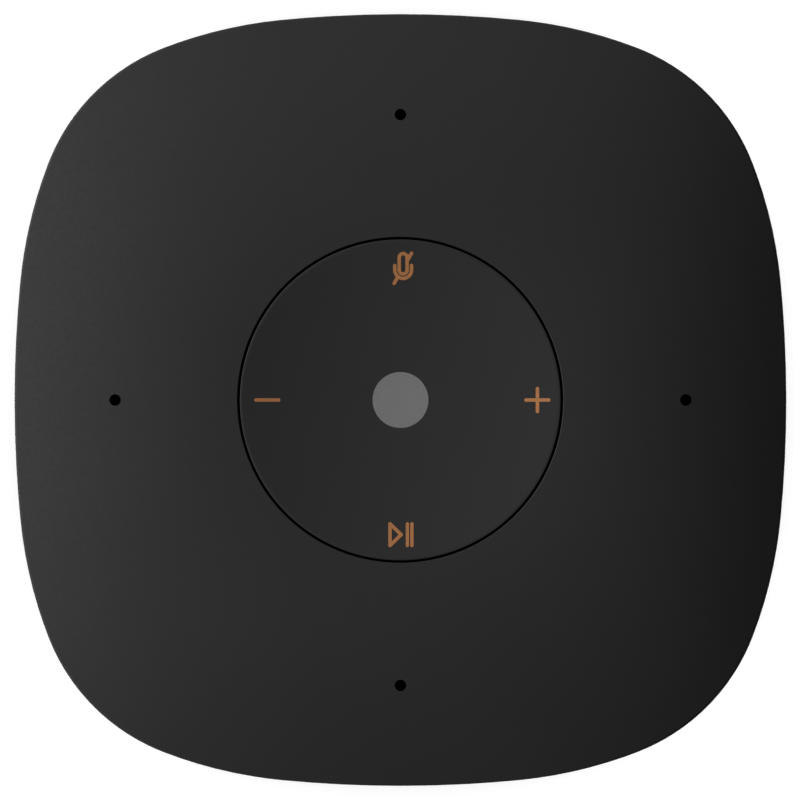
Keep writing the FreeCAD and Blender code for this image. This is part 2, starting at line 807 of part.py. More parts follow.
# ------------------------------------------------------------------------------------------------------
# Rocker mechanism: disc on gimbal ring on key frame, over four rubber domes
# ------------------------------------------------------------------------------------------------------
def make_gimbal_ring():
    bottom = "gimbal_axis - gimbal_thickness / 2"
    ring = tube("gimbal_outer_radius", "gimbal_inner_radius", "gimbal_thickness", z=bottom)
    root = 0.3  # how far the pins run into the ring
    outer_tip = "ear_inner + ear_thickness"
    pins = []
    for way in (-1, 1):
        start = "lug_inner" if way > 0 else f"-gimbal_inner_radius - {root}"
        length = f"gimbal_inner_radius + {root} - lug_inner"
        pins.append(rod("trunnion_radius", length, 0, start, "gimbal_axis", ALONG_Y))
        start = f"gimbal_outer_radius - {root}" if way > 0 else f"-({outer_tip})"
        length = f"{outer_tip} - gimbal_outer_radius + {root}"
        pins.append(rod("trunnion_radius", length, start, 0, "gimbal_axis", ALONG_X))
    part("gimbal_ring", fuse(ring, *pins))


def make_key_frame():
    plate = tube("frame_outer_radius", "frame_inner_radius", "frame_thickness", z="frame_bottom")
    width, thickness = "frame_arm_width", "frame_thickness"
    arms = [rod(f"{width} / 2", thickness, x, y, "frame_bottom") for x, y in FRAME_SCREWS]
    for angle in DIAGONALS:
        x, y = ring_point("(frame_outer_radius + frame_screw_circle) / 2 - 1", angle)
        arms.append(block(width, width, thickness, x, y, "frame_bottom", angle))
    holes = [rod("dome_hole_radius", THROUGH, x, y, "frame_bottom - 1") for x, y in KEY_SPOTS]
    holes += [rod("small_shank + 0.2", THROUGH, x, y, "frame_bottom - 1") for x, y in FRAME_SCREWS]
    drilled = cut(fuse(plate, *arms), *holes)
    ears, bearings = [], []
    for way in (-1, 1):
        start = "ear_inner" if way > 0 else "-ear_inner - ear_thickness"
        middle = f"{way} * (ear_inner + ear_thickness / 2)"
        rise = "gimbal_axis - frame_bottom"
        ears.append(rod("lug_half_width", "ear_thickness", start, 0, "gimbal_axis", ALONG_X))
        ears.append(block("ear_thickness", "2 * lug_half_width", rise, middle, 0, "frame_bottom"))
        bearings.append(rod("bearing_radius", "ear_thickness", start, 0, "gimbal_axis", ALONG_X))
    part("key_frame", cut(fuse(drilled, *ears), *bearings))


def make_rubber_domes():
    labels = ("volume_up_dome", "mute_dome", "volume_down_dome", "play_pause_dome")
    low, high = "dome_base_radius - dome_wall", "dome_top_radius - dome_wall"
    for label, (x, y) in zip(labels, KEY_SPOTS):
        skirt = taper("dome_base_radius", "dome_top_radius", "dome_height", x, y, "top_board_top")
        flange = rod("dome_flange_radius", "dome_flange_height", x, y, "top_board_top")
        hollow = taper(low, high, "dome_height - dome_wall", x, y, "top_board_top")
        part(label, cut(fuse(skirt, flange), hollow))


# ------------------------------------------------------------------------------------------------------
# Top board: microphones, light and key contacts
# ------------------------------------------------------------------------------------------------------
def make_top_board():
    drill_from = f"{TOP_BOARD_BOTTOM} - 1"
    notch_circle, notch_radius = f"{CASE_CIRCLE} + 1", "case_boss_radius + 1.6"
    holes = [rod(0.5, THROUGH, x, y, drill_from) for x, y in MIC_SPOTS]
    holes += [rod("small_shank + 0.2", THROUGH, x, y, drill_from) for x, y in TOP_BOARD_SCREWS]
    holes += [rod("small_head + 0.6", THROUGH, x, y, drill_from) for x, y in FRAME_SCREWS]
    holes += [rod(notch_radius, THROUGH, x, y, drill_from) for x, y in ring_points(notch_circle, DIAGONALS)]
    board = rod("top_board_radius", "top_board_thickness", z=TOP_BOARD_BOTTOM)
    part("top_board", cut(board, *holes))
    mic_z, gasket_height = f"{TOP_BOARD_BOTTOM} - mic_height", "mic_boss_bottom - top_board_top"
    mics, gaskets = [], []
    for x, y in MIC_SPOTS:
        mics.append(block("mic_length", "mic_width", "mic_height", x, y, mic_z))
        gaskets.append(tube("mic_gasket_radius", "mic_gasket_bore", gasket_height, x, y, "top_board_top"))
    part("microphones", group(*mics))
    part("mic_gaskets", group(*gaskets))
    screws = [screw("small", x, y, TOP_BOARD_BOTTOM, 4.9) for x, y in TOP_BOARD_SCREWS]
    screws += [screw("small", x, y, "frame_bottom", 4.5) for x, y in FRAME_SCREWS]
    part("cover_screws", group(*screws))


# ------------------------------------------------------------------------------------------------------
# Main board and its parts
# ------------------------------------------------------------------------------------------------------
CHIPS = (  # length, width, height, x, y
    (14, 14, 1.2, -4, -8),
    (9, 11, 1.0, 7.5, -1),
    (4, 4, 0.9, 4, 24),
    (5, 6, 1.0, -8, 24),
    (7, 4.4, 1.6, -17, 24),
)
COILS = ((12, 22), (20, 22))
CAPACITORS = ((12, 30), (19.5, 30))
FIN_STEP = 4
FIN_REACH = 24


def make_main_board():
    board = squircle_plate("main_board_half_width", "main_board_thickness", "main_board_bottom")
    drill_from = "main_board_bottom - 1"
    holes = [rod("case_boss_radius + 0.6", THROUGH, x, y, drill_from) for x, y in CASE_SCREWS]
    holes += [rod("board_shank + 0.1", THROUGH, x, y, drill_from) for x, y in BOARD_SCREWS]
    slot_length, slot_width = "wire_spacing + wire_diameter + 1", "wire_diameter + 3"
    holes.append(block(slot_length, slot_width, THROUGH, "wire_x", "wire_rise_y - 0.5", drill_from))
    part("main_board", cut(board, *holes))
    screws = [screw("board", x, y, BOARD_TOP, 4.2, way=-1) for x, y in BOARD_SCREWS]
    part("main_board_screws", group(*screws))


def make_processor():
    inner, inner_height = "shield_size - 2 * shield_wall", "shield_height - shield_wall"
    can = block("shield_size", "shield_size", "shield_height", 0, "shield_y", BOARD_TOP)
    part("processor_shield", cut(can, block(inner, inner, inner_height, 0, "shield_y", BOARD_TOP)))
    pad_size, pad_z = "thermal_pad_size", f"{BOARD_TOP} + shield_height"
    part("thermal_pad", block(pad_size, pad_size, "thermal_pad_height", 0, "shield_y", pad_z))
    plate_z = f"{pad_z} + thermal_pad_height"
    plate = block("spreader_length", "spreader_width", "spreader_thickness", 0, "shield_y", plate_z)
    fins = [
        block("fin_width", "spreader_width", "fin_height", x, "shield_y", f"{plate_z} + spreader_thickness")
        for x in range(-FIN_REACH, FIN_REACH + 1, FIN_STEP)
    ]
    plate_corner = lambda edge: upright(edge) and edge.Length > value("spreader_thickness") - 0.05
    part("heat_spreader", fillet(fuse(plate, *fins), "0.3", plate_corner))


def make_antennas():
    """Two bent-sheet antennas that stand on the front corners of the main board."""
    slot_length, slot_width, slot_shift, second_foot, foot_width = 9, 0.8, 1.5, -3.5, 2.4
    antennas = []
    for side in (-1, 1):
        x = f"{side} * antenna_x"
        top_z = f"{BOARD_TOP} + antenna_height - antenna_sheet"
        top = block("antenna_length", "antenna_width", "antenna_sheet", x, "antenna_y", top_z)
        outs = ("(antenna_sheet - antenna_length) / 2", second_foot)
        foot_size = ("antenna_sheet", foot_width, "antenna_height - 0.1")
        feet = [block(*foot_size, f"{x} + {side} * ({out})", "antenna_y", BOARD_TOP) for out in outs]
        slot = block(slot_length, slot_width, 1, f"{x} + {side * slot_shift}", "antenna_y", f"{top_z} - 0.3")
        antennas.append(cut(fuse(top, *feet), slot))
    part("radio_antennas", group(*antennas))


def make_board_components():
    coils = [fillet(block(6.2, 6.2, 3.2, x, y, BOARD_TOP), "0.8", upright) for x, y in COILS]
    cans = [rod(2.6, 3.4, x, y, BOARD_TOP) for x, y in CAPACITORS]
    feet = [block(5.6, 5.6, 0.5, x, y, BOARD_TOP) for x, y in CAPACITORS]
    capacitors = [fuse(can, foot) for can, foot in zip(cans, feet)]
    chips = [block(*chip, BOARD_TOP) for chip in CHIPS]
    part("board_components", group(*coils, *capacitors, *chips))


def make_ribbon():
    """A flat cable that leaves both sockets towards the front and turns back on itself."""
    levels = (f"{TOP_BOARD_BOTTOM} - ribbon_socket_height / 2", f"{BOARD_TOP} + ribbon_socket_height / 2")
    high, low = (value(level) for level in levels)
    across, up = value("ribbon_width") / 2, value("ribbon_thickness") / 2
    mouth, reach = value("ribbon_socket_y"), value("ribbon_reach")
    radius = (high - low) / 2
    start, leave = Vector(0, mouth + 1, high), Vector(0, mouth - reach, high)
    bend, turned = Vector(0, leave.y - radius, (high + low) / 2), Vector(0, leave.y, low)
    end = Vector(0, start.y, low)
    runs = (Part.LineSegment(start, leave), Part.Arc(leave, bend, turned), Part.LineSegment(turned, end))
    path = Part.Wire([run.toShape() for run in runs])
    corners = ((-across, -up), (across, -up), (across, up), (-across, up), (-across, -up))
    section = Part.makePolygon([start + Vector(x, 0, z) for x, z in corners])
    ribbon = doc.addObject("Part::Feature", "ribbon")
    ribbon.Shape = path.makePipeShell([section], True, False)
    part("ribbon_cable", ribbon)
    length, depth, height = "ribbon_socket_length", "ribbon_socket_depth", "ribbon_socket_height"
    sockets = []
    for middle in levels:
        body = block(length, depth, height, 0, f"ribbon_socket_y + {depth} / 2", f"{middle} - {height} / 2")
        slot_z = f"{middle} - ribbon_thickness / 2 - 0.05"
        slot = block("ribbon_width + 0.2", 1.3, "ribbon_thickness + 0.1", 0, "ribbon_socket_y + 0.6", slot_z)
        sockets.append(cut(body, slot))
    part("ribbon_sockets", group(*sockets))


# ------------------------------------------------------------------------------------------------------
# Speaker
# ------------------------------------------------------------------------------------------------------
WIRE_XS = [f"wire_x + {way} * wire_spacing" for way in (-0.5, 0.5)]
WIRE_END_Z = f"({BOARD_TOP} + wire_end_height)"


def box_form(inset, bottom, height):
    """The speaker box's plan, set in and raised to this height."""
    width, depth = f"2 * (box_half_width - ({inset}))", f"box_half_width + box_rear - 2 * ({inset})"
    slab = block(width, depth, height, 0, "(box_rear - box_half_width) / 2", bottom)
    return common(slab, rod(f"box_round - ({inset})", height, z=bottom))


def make_speaker_box():
    walls = box_form("0", "box_bottom", "lid_bottom - box_bottom")
    tub = cut(walls, box_form("box_wall", "box_bottom + baffle_thickness", "lid_bottom"))
    bosses = [rod("driver_ear_radius", 5.2, x, y, "box_bottom") for x, y in DRIVER_SCREWS]
    holes = [rod("driver_pilot", 4.2, x, y, "box_bottom") for x, y in DRIVER_SCREWS]
    holes.append(rod("baffle_hole_radius", 5, z="box_bottom - 1"))
    part("speaker_box_tub", cut(fuse(tub, *bosses), *holes))


def make_speaker_box_lid():
    plate = box_form("0", "lid_bottom", "lid_thickness")
    rib_gap, rib_z = 0.1, "lid_bottom - lid_rib_height"
    rib = cut(
        box_form(f"box_wall + {rib_gap}", rib_z, "lid_rib_height"),
        box_form(f"box_wall + {rib_gap} + lid_rib_wall", rib_z, "lid_rib_height"),
    )
    ears = [rod("lid_ear_radius", "lid_thickness", x, y, "lid_bottom") for x, y in CASE_SCREWS]
    arm_circle, arm_length, arm_width = 33, 12, 7
    for angle in DIAGONALS:
        x, y = ring_point(arm_circle, angle)
        ears.append(block(arm_length, arm_width, "lid_thickness", x, y, "lid_bottom", angle))
    root = 0.5  # how far the board's posts run into the plate
    post_height = f"main_board_bottom - lid_bottom - {root}"
    posts = [rod(2.6, post_height, x, y, f"lid_bottom + {root}") for x, y in BOARD_SCREWS]
    holes = [rod("case_hole_radius", THROUGH, x, y, "lid_bottom - 1") for x, y in CASE_SCREWS]
    holes += [rod("board_pilot", THROUGH, x, y, "main_board_bottom - 3") for x, y in BOARD_SCREWS]
    holes.append(rod("grommet_radius + 0.05", THROUGH + 1, "wire_x", "wire_rise_y", "lid_bottom - 2"))
    part("speaker_box_lid", cut(fuse(plate, rib, *ears, *posts), *holes))


def make_driver_basket():
    hub_bore, seat_inner, seat_outer, mouth_radius = 7.3, 13.6, 15.2, 18.6
    bell = revolved([
        (f"{mouth_radius} + 0.3", "flange_bottom"),
        ("driver_radius", "flange_bottom"),
        ("driver_radius", "flange_top"),
        (f"{mouth_radius} + basket_wall", "flange_top"),
        ("basket_neck_radius", "basket_shoulder"),
        ("basket_neck_radius", "basket_top"),
        (hub_bore, "basket_top"),
        (hub_bore, "basket_deck"),
        (seat_inner, "basket_deck"),
        (seat_inner, "spider_seat"),
        (seat_outer, "spider_seat"),
        (mouth_radius, "flange_top"),
        (mouth_radius, "flange_bottom + 0.4"),
    ])
    flange_height = "flange_top - flange_bottom"
    ears = [rod("driver_ear_radius", flange_height, x, y, "flange_bottom") for x, y in DRIVER_SCREWS]
    tab_length, tab_width, tab_y = 7, 6.5, -14.3
    tab_blank = block(tab_length, tab_width, "basket_top - basket_deck", "wire_x", tab_y, "basket_deck")
    tab = cut(tab_blank, rod(hub_bore, THROUGH, z="basket_deck - 1"))
    holes = [rod("driver_shank + 0.2", THROUGH, x, y, "flange_bottom - 1") for x, y in DRIVER_SCREWS]
    for turn in (0, 90):
        width, height = "basket_window_width", "basket_window_height"
        holes.append(block(50, width, height, z="basket_window_bottom", spin=turn))
    part("driver_basket", cut(fuse(bell, *ears, tab), *holes))


def make_driver():
    magnet_z = "(basket_top + top_plate_thickness)"
    back_z = f"({magnet_z} + magnet_thickness)"
    pole_height = f"{back_z} + back_plate_thickness / 2 - pole_bottom"
    part("driver_gasket", tube("driver_radius", "baffle_hole_radius", "gasket_thickness", z="flange_top"))
    part("driver_top_plate", tube("plate_radius", "plate_bore", "top_plate_thickness", z="basket_top"))
    part("driver_magnet", tube("magnet_radius", "magnet_bore", "magnet_thickness", z=magnet_z))
    back_plate = rod("plate_radius", "back_plate_thickness", z=back_z)
    part("driver_pole_piece", fuse(back_plate, rod("pole_radius", pole_height, z="pole_bottom")))
    part("driver_screws", group(*[screw("driver", x, y, "flange_bottom", 5.0) for x, y in DRIVER_SCREWS]))
    pocket_radius, pocket_y = "wire_diameter / 2 + wire_pocket_gap", "terminal_y - 0.5"
    pockets = [rod(pocket_radius, 5, x, pocket_y, "wire_start_z", AGAINST_Y) for x in WIRE_XS]
    size = ("terminal_width", "terminal_depth", "terminal_height")
    part("driver_terminals", cut(block(*size, "wire_x", "terminal_y", "basket_top"), *pockets))


def make_moving_cone():
    part("voice_coil", tube("coil_radius", "coil_radius - coil_wall", "coil_length", z="coil_bottom"))
    cone = revolved([
        ("coil_radius", "cone_top"),
        ("coil_radius", "cone_top - cone_thickness"),
        ("cone_edge_radius", "flange_bottom", "cone_flare"),
        ("cone_lip_radius", "flange_bottom"),
        ("cone_lip_radius", "flange_bottom + cone_lip_thickness"),
        ("cone_edge_radius + 0.4", "flange_bottom + cone_lip_thickness"),
        ("coil_radius + cone_thickness", "cone_top", "-cone_flare"),
    ])
    part("speaker_cone", cone)
    cap = revolved([
        (0, "coil_bottom - 0.2 - cap_drop"),
        ("coil_radius - 0.1", "coil_bottom - 0.2", "cap_radius"),
        ("coil_radius - 0.4", "coil_bottom"),
        (0, "coil_bottom + 0.2 - cap_drop", "-cap_radius"),
    ])
    part("dust_cap", cap)


def make_suspension():
    """The half-roll surround and the corrugated spider that carry the cone."""
    roll_inner, roll_outer, inside_roll, outside_roll = 17.2, 19.2, 1.05, 1.35
    low = "flange_bottom - surround_thickness"
    surround = revolved([
        ("surround_inner", "flange_bottom"),
        ("surround_inner", low),
        (f"{roll_inner} - surround_thickness", low),
        (f"{roll_outer} + surround_thickness", low, outside_roll),
        ("surround_outer", low),
        ("surround_outer", "flange_bottom"),
        (roll_outer, "flange_bottom"),
        (roll_inner, "flange_bottom", -inside_roll),
    ])
    part("cone_surround", surround)
    waves = ((8.4, 0), (9.4, 0.5), (10.6, -0.4), (11.8, 0.5), (12.8, 0), ("spider_outer", 0))
    low = "spider_seat - spider_thickness"
    under = [(radius, f"{low} + {wave}") for radius, wave in waves]
    over = [(radius, f"spider_seat + {wave}") for radius, wave in reversed(waves)]
    part("cone_spider", revolved([("coil_radius", low), *under, *over, ("coil_radius", "spider_seat")]))


def rounded_path(points):
    """A wire of straight runs joined by tangent arcs, each nearly as large as its two runs allow."""
    edges, start = [], points[0]
    for before, corner, after in zip(points, points[1:], points[2:]):
        inward, outward = corner - before, after - corner
        reach = 0.45 * min(inward.Length, outward.Length)
        half_turn = inward.getAngle(outward) / 2
        inward.normalize()
        outward.normalize()
        first, last = corner - inward * reach, corner + outward * reach
        inside = (outward - inward).normalize()
        radius = reach / math.tan(half_turn)
        middle = corner + inside * (radius / math.cos(half_turn) - radius)
        edges.append(Part.LineSegment(start, first).toShape())
        edges.append(Part.Arc(first, middle, last).toShape())
        start = last
    edges.append(Part.LineSegment(start, points[-1]).toShape())
    return Part.Wire(edges)


def make_speaker_wires():
    """Two leads from the driver's terminals, up through the box lid and the board, to their socket."""
    names = ("wire_start_y", "wire_rise_y", "wire_rise_y", "wire_end_y")
    heights = ("wire_start_z", "wire_start_z", WIRE_END_Z, WIRE_END_Z)
    wires = []
    for x in WIRE_XS:
        points = [Vector(value(x), value(y), value(z)) for y, z in zip(names, heights)]
        section = Part.Wire(Part.makeCircle(value("wire_diameter") / 2, points[0], Vector(0, 1, 0)))
        wires.append(rounded_path(points).makePipeShell([section], True, False))
    leads = doc.addObject("Part::Feature", "leads")
    leads.Shape = Part.makeCompound(wires)
    part("speaker_wires", leads)
    bores = [rod("wire_diameter / 2 + 0.02", 5, x, "wire_rise_y", "lid_bottom - 1") for x in WIRE_XS]
    plug = rod("grommet_radius", 2.5, "wire_x", "wire_rise_y", "lid_bottom - 0.5")
    collar = rod("grommet_collar", 0.6, "wire_x", "wire_rise_y", LID_TOP)
    part("wire_grommet", cut(fuse(plug, collar), *bores))
    socket = block("terminal_width", "socket_depth", "socket_height", "wire_x", "socket_y", BOARD_TOP)
    pocket_radius = "wire_diameter / 2 + wire_pocket_gap"
    pockets = [rod(pocket_radius, 2, x, "wire_end_y - 0.3", WIRE_END_Z, ALONG_Y) for x in WIRE_XS]
    part("speaker_socket", cut(socket, *pockets))


# ------------------------------------------------------------------------------------------------------
# Grille shell, base and foot
# ------------------------------------------------------------------------------------------------------
SHELL_STEPS = 7
SHELL_SPACING = 0.8  # below 1, so that the sections crowd towards the bottom, where the wall bends more
REAR = (30, 60)  # the rear wall's stretch along Y


def shell_form(inset):
    """The side wall's outer form, set in: nearly upright at the top, tucked under at the bottom."""
    body = doc.addObject("PartDesign::Body", "wall")
    sections = []
    for step in range(SHELL_STEPS + 1):
        down = (step / SHELL_STEPS) ** SHELL_SPACING
        height = f"shell_top - (shell_top - shell_bottom) * {down}"
        half_width = f"shell_top_half_width - shell_tuck * {down}^shell_tuck_power - ({inset})"
        sections.append(inset_squircle(body, half_width, height))
    loft(body, sections)
    return body


def shell_layer(outer_inset, inner_inset):
    return cut(shell_form(outer_inset), shell_form(inner_inset))


def window_block(grow):
    """The rear window's outline, run through the rear wall. grow widens it all round."""
    width, height = f"2 * (window_half_width + ({grow}))", f"window_top - window_bottom + 2 * ({grow})"
    back, front = REAR
    slab = deep_block(width, height, front, back, 0, f"window_bottom - ({grow})")
    return fillet(slab, f"window_corner + ({grow})", along_y)


def make_grille_shell():
    lip = squircle_ring("lip_half_width", "lip_half_width - lip_wall", "lip_top - lip_root", "lip_root")
    part("grille_shell", cut(fuse(shell_layer("0", "shell_wall"), lip), window_block("0")))
    face = "shell_wall + cloth_gap"
    band = block(120, 120, "cloth_top - cloth_bottom", z="cloth_bottom")
    cloth = common(shell_layer(face, f"{face} + cloth_thickness"), band)
    part("grille_cloth", cut(cloth, window_block("panel_lip + 0.5")))


def make_base():
    root = 0.5  # how far the pillars and the cone run into the plate
    flange = squircle_plate("base_flange_half_width", "base_flange_thickness", "base_bottom")
    plug = squircle_plate("base_plug_half_width", "base_top - base_bottom", "base_bottom")
    pillar_height = f"lid_bottom - base_top + {root}"
    pillars = [rod("case_boss_radius", pillar_height, x, y, f"base_top - {root}") for x, y in CASE_SCREWS]
    sound_cone = revolved([
        (0, f"base_top - {root}"),
        ("cone_base_radius", f"base_top - {root}"),
        ("cone_base_radius", "base_top + cone_base_height"),
        (0.8, "base_top + cone_height - 0.2", "-cone_flank_radius"),
        (0, "base_top + cone_height"),
    ])
    bores = [rod("case_hole_radius", 40, x, y) for x, y in CASE_SCREWS]
    recesses = [rod("case_recess_radius", "case_screw_seat", x, y) for x, y in CASE_SCREWS]
    groove_outer, groove_inner = "foot_outer_half_width + foot_gap", "foot_inner_half_width - foot_gap"
    groove = squircle_ring(groove_outer, groove_inner, "foot_height", 0)
    part("base_plate", cut(fuse(flange, plug, sound_cone, *pillars), *bores, *recesses, groove))
    part("foot_ring", squircle_ring("foot_outer_half_width", "foot_inner_half_width", "foot_height", 0))
    screws = [screw("case", x, y, "case_screw_seat", "case_screw_length") for x, y in CASE_SCREWS]
    part("case_screws", group(*screws))
    ring = tube("ballast_outer_radius", "ballast_inner_radius", "ballast_thickness", z="base_top")
    notches = [rod("case_boss_radius + 0.4", THROUGH, x, y, "base_top - 1") for x, y in CASE_SCREWS]
    part("ballast_ring", cut(ring, *notches))


# ------------------------------------------------------------------------------------------------------
# Rear ports
# ------------------------------------------------------------------------------------------------------
JACK_BOTTOM = "(main_board_bottom - jack_height)"
MOUTH_BOTTOM = f"({JACK_BOTTOM} + mouth_sill)"
USB_MIDDLE = "(main_board_bottom - usb_height / 2)"
USB_REAR = "(usb_face - usb_depth)"
BUTTON_REAR = "(button_face - button_length)"


def stadium(width, height, length, x, start, middle_z):
    """A slot outline run along Y from start."""
    flat = f"({width}) - ({height})"
    bottom = f"({middle_z}) - ({height}) / 2"
    slab = deep_block(flat, height, f"({start}) + ({length})", start, x, bottom)
    ends = [
        rod(f"({height}) / 2", length, f"({x}) + {way} * ({flat}) / 2", start, middle_z, ALONG_Y)
        for way in (-1, 1)
    ]
    return fuse(slab, *ends)


def make_port_panel():
    face = common(shell_layer("panel_sink", "shell_wall"), window_block("-panel_gap"))
    bridge = common(shell_layer("shell_wall - 0.3", "shell_wall + 0.3"), window_block("-panel_gap"))
    behind_wall = shell_layer("shell_wall + cloth_gap", "shell_wall + panel_lip_wall")
    lip = common(behind_wall, window_block("panel_lip"))
    back, front = REAR
    jack_width, jack_height = "jack_width + 2 * jack_fit_gap", "jack_height + 2 * jack_fit_gap"
    jack_hole = deep_block(jack_width, jack_height, front, back, "-jack_x", f"{JACK_BOTTOM} - jack_fit_gap")
    usb_width, usb_height = "usb_width + 2 * usb_fit_gap", "usb_height + 2 * usb_fit_gap"
    usb_hole = stadium(usb_width, usb_height, front - back, "usb_x", back, USB_MIDDLE)
    button_hole = rod("button_radius + 0.1", front - back, "button_x", back, "button_z", ALONG_Y)
    panel = cut(fuse(face, bridge, lip), fillet(jack_hole, "0.5", along_y), usb_hole, button_hole)
    part("rear_port_panel", panel)


def make_ethernet_jack():
    face, beyond, mouth_back, middle = "jack_face", "jack_face + 0.1", "jack_face - mouth_depth", "-jack_x"
    latch_width, latch_drop, key_width, key_drop = 6.2, 1.4, 3.4, 2.6
    body = deep_block("jack_width", "jack_height", face, f"{face} - jack_depth", middle, JACK_BOTTOM)
    cuts = [deep_block("mouth_width", "mouth_height", beyond, mouth_back, middle, MOUTH_BOTTOM)]
    for width, drop in ((latch_width, latch_drop), (key_width, key_drop)):
        z = f"{MOUTH_BOTTOM} - {drop}"
        cuts.append(deep_block(width, f"{drop} + 0.1", beyond, mouth_back, middle, z))
    lights = []
    for way in (-1, 1):
        x = f"{middle} + {way} * jack_light_x"
        cuts.append(deep_block(2.6, 1.6, beyond, f"{face} - 0.9", x, f"{JACK_BOTTOM} + 1"))
        lights.append(deep_block(2.5, 1.5, f"{face} - 0.05", f"{face} - 0.85", x, f"{JACK_BOTTOM} + 1.05"))
    part("ethernet_jack", cut(body, *cuts))
    part("ethernet_lights", group(*lights))
    count, pitch, width, thickness = 8, 1.02, 0.4, 0.35
    contacts = []
    for n in range(count):
        x = f"{middle} + {(n - (count - 1) / 2) * pitch}"
        z = f"{MOUTH_BOTTOM} + mouth_height - {thickness}"
        contacts.append(deep_block(width, thickness, f"{face} - 2.4", mouth_back, x, z))
    part("ethernet_contacts", group(*contacts))


def make_usb_socket():
    outer = stadium("usb_width", "usb_height", "usb_depth", "usb_x", USB_REAR, USB_MIDDLE)
    inner_width, inner_height = "usb_width - 2 * usb_wall", "usb_height - 2 * usb_wall"
    inner_rear = f"{USB_REAR} + usb_back"
    inner = stadium(inner_width, inner_height, "usb_depth", "usb_x", inner_rear, USB_MIDDLE)
    tongue_front, tongue_z = f"{inner_rear} + tongue_length", f"{USB_MIDDLE} - tongue_thickness / 2"
    tongue = deep_block("tongue_width", "tongue_thickness", tongue_front, inner_rear, "usb_x", tongue_z)
    part("usb_c_socket", group(cut(outer, inner), tongue))


def make_reset_button():
    rear = ("button_x", BUTTON_REAR, "button_z")
    cap = rod("button_radius", "button_length", *rear, ALONG_Y)
    flange = rod("button_flange_radius", "button_flange_length", *rear, ALONG_Y)
    plunger = rod("plunger_radius", "plunger_length", *rear, AGAINST_Y)
    front = value("button_face") - 1e-3
    front_edge = lambda edge: len(edge.Vertexes) == 1 and edge.Vertexes[0].Y > front
    part("reset_button", fuse(fillet(cap, "button_edge_fillet", front_edge), flange, plunger))
    switch_front = f"{BUTTON_REAR} - plunger_length / 2"
    switch_back, switch_z = f"{switch_front} - switch_depth", "main_board_bottom - switch_height"
    case = deep_block("switch_width", "switch_height", switch_front, switch_back, "button_x", switch_z)
    well = rod("plunger_radius + 0.1", 2.2, "button_x", switch_front, "button_z", AGAINST_Y)
    part("reset_switch", cut(case, well))


# ------------------------------------------------------------------------------------------------------
# Build, check and write
# ------------------------------------------------------------------------------------------------------
def check_document():
    broken = [thing.Label for thing in doc.Objects if {"Invalid", "Error"} & set(thing.State)]
    if broken:
        raise RuntimeError(f"these objects failed: {broken}")
    for made in subparts:
        if made.Shape.isNull() or not made.Shape.isValid() or not made.Shape.Solids:
            raise RuntimeError(f"{made.Label} has no valid solid")


def write_parts():
    os.makedirs("parts", exist_ok=True)
    for name in os.listdir("parts"):
        if name.endswith(".step"):
            os.remove(os.path.join("parts", name))
    for made in subparts:
        made.Shape.exportStep(f"parts/{made.Label}.step")
        solids, volume = len(made.Shape.Solids), made.Shape.Volume
        print(f"{made.Label:22s} {solids:2d} solids {volume:10.2f} mm3")


def main():
    make_top_cover()
    make_control_disc()
    make_light()
    make_gimbal_ring()
    make_key_frame()
    make_rubber_domes()
    make_top_board()
    make_main_board()
    make_processor()
    make_antennas()
    make_board_components()
    make_ribbon()
    make_speaker_box()
    make_speaker_box_lid()
    make_driver_basket()
    make_driver()
    make_moving_cone()
    make_suspension()
    make_speaker_wires()
    make_grille_shell()
    make_base()
    make_port_panel()
    make_ethernet_jack()
    make_usb_socket()
    make_reset_button()
    doc.recompute()
    check_document()
    write_parts()


main()
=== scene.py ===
import math

import bmesh
import bpy
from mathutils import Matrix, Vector


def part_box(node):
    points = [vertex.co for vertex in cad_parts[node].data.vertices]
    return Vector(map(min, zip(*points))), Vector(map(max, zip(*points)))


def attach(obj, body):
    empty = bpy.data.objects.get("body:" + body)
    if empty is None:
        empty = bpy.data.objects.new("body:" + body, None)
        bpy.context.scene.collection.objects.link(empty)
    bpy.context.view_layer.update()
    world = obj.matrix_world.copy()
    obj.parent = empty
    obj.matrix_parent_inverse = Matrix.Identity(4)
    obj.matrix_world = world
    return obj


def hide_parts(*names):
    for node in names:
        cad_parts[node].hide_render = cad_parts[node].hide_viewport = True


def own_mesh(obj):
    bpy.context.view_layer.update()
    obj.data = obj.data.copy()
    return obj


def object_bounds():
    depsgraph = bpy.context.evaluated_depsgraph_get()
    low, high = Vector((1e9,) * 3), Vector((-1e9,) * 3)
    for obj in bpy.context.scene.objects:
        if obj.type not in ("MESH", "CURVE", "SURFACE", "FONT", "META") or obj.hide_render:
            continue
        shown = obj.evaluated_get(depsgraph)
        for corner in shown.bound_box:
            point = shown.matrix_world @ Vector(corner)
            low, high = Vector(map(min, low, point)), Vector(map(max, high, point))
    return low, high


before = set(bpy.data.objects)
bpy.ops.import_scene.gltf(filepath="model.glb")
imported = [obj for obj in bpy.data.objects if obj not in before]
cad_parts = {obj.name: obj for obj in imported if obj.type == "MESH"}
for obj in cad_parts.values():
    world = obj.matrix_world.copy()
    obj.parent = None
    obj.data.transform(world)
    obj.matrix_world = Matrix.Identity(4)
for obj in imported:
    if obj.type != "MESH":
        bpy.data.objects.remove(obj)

cad_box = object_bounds()
MM = 0.001

# ---------------------------------------------------------------------------------------------
# The hub's outline: side, shoulder and corner arcs, all parallel curves of one another
# ---------------------------------------------------------------------------------------------

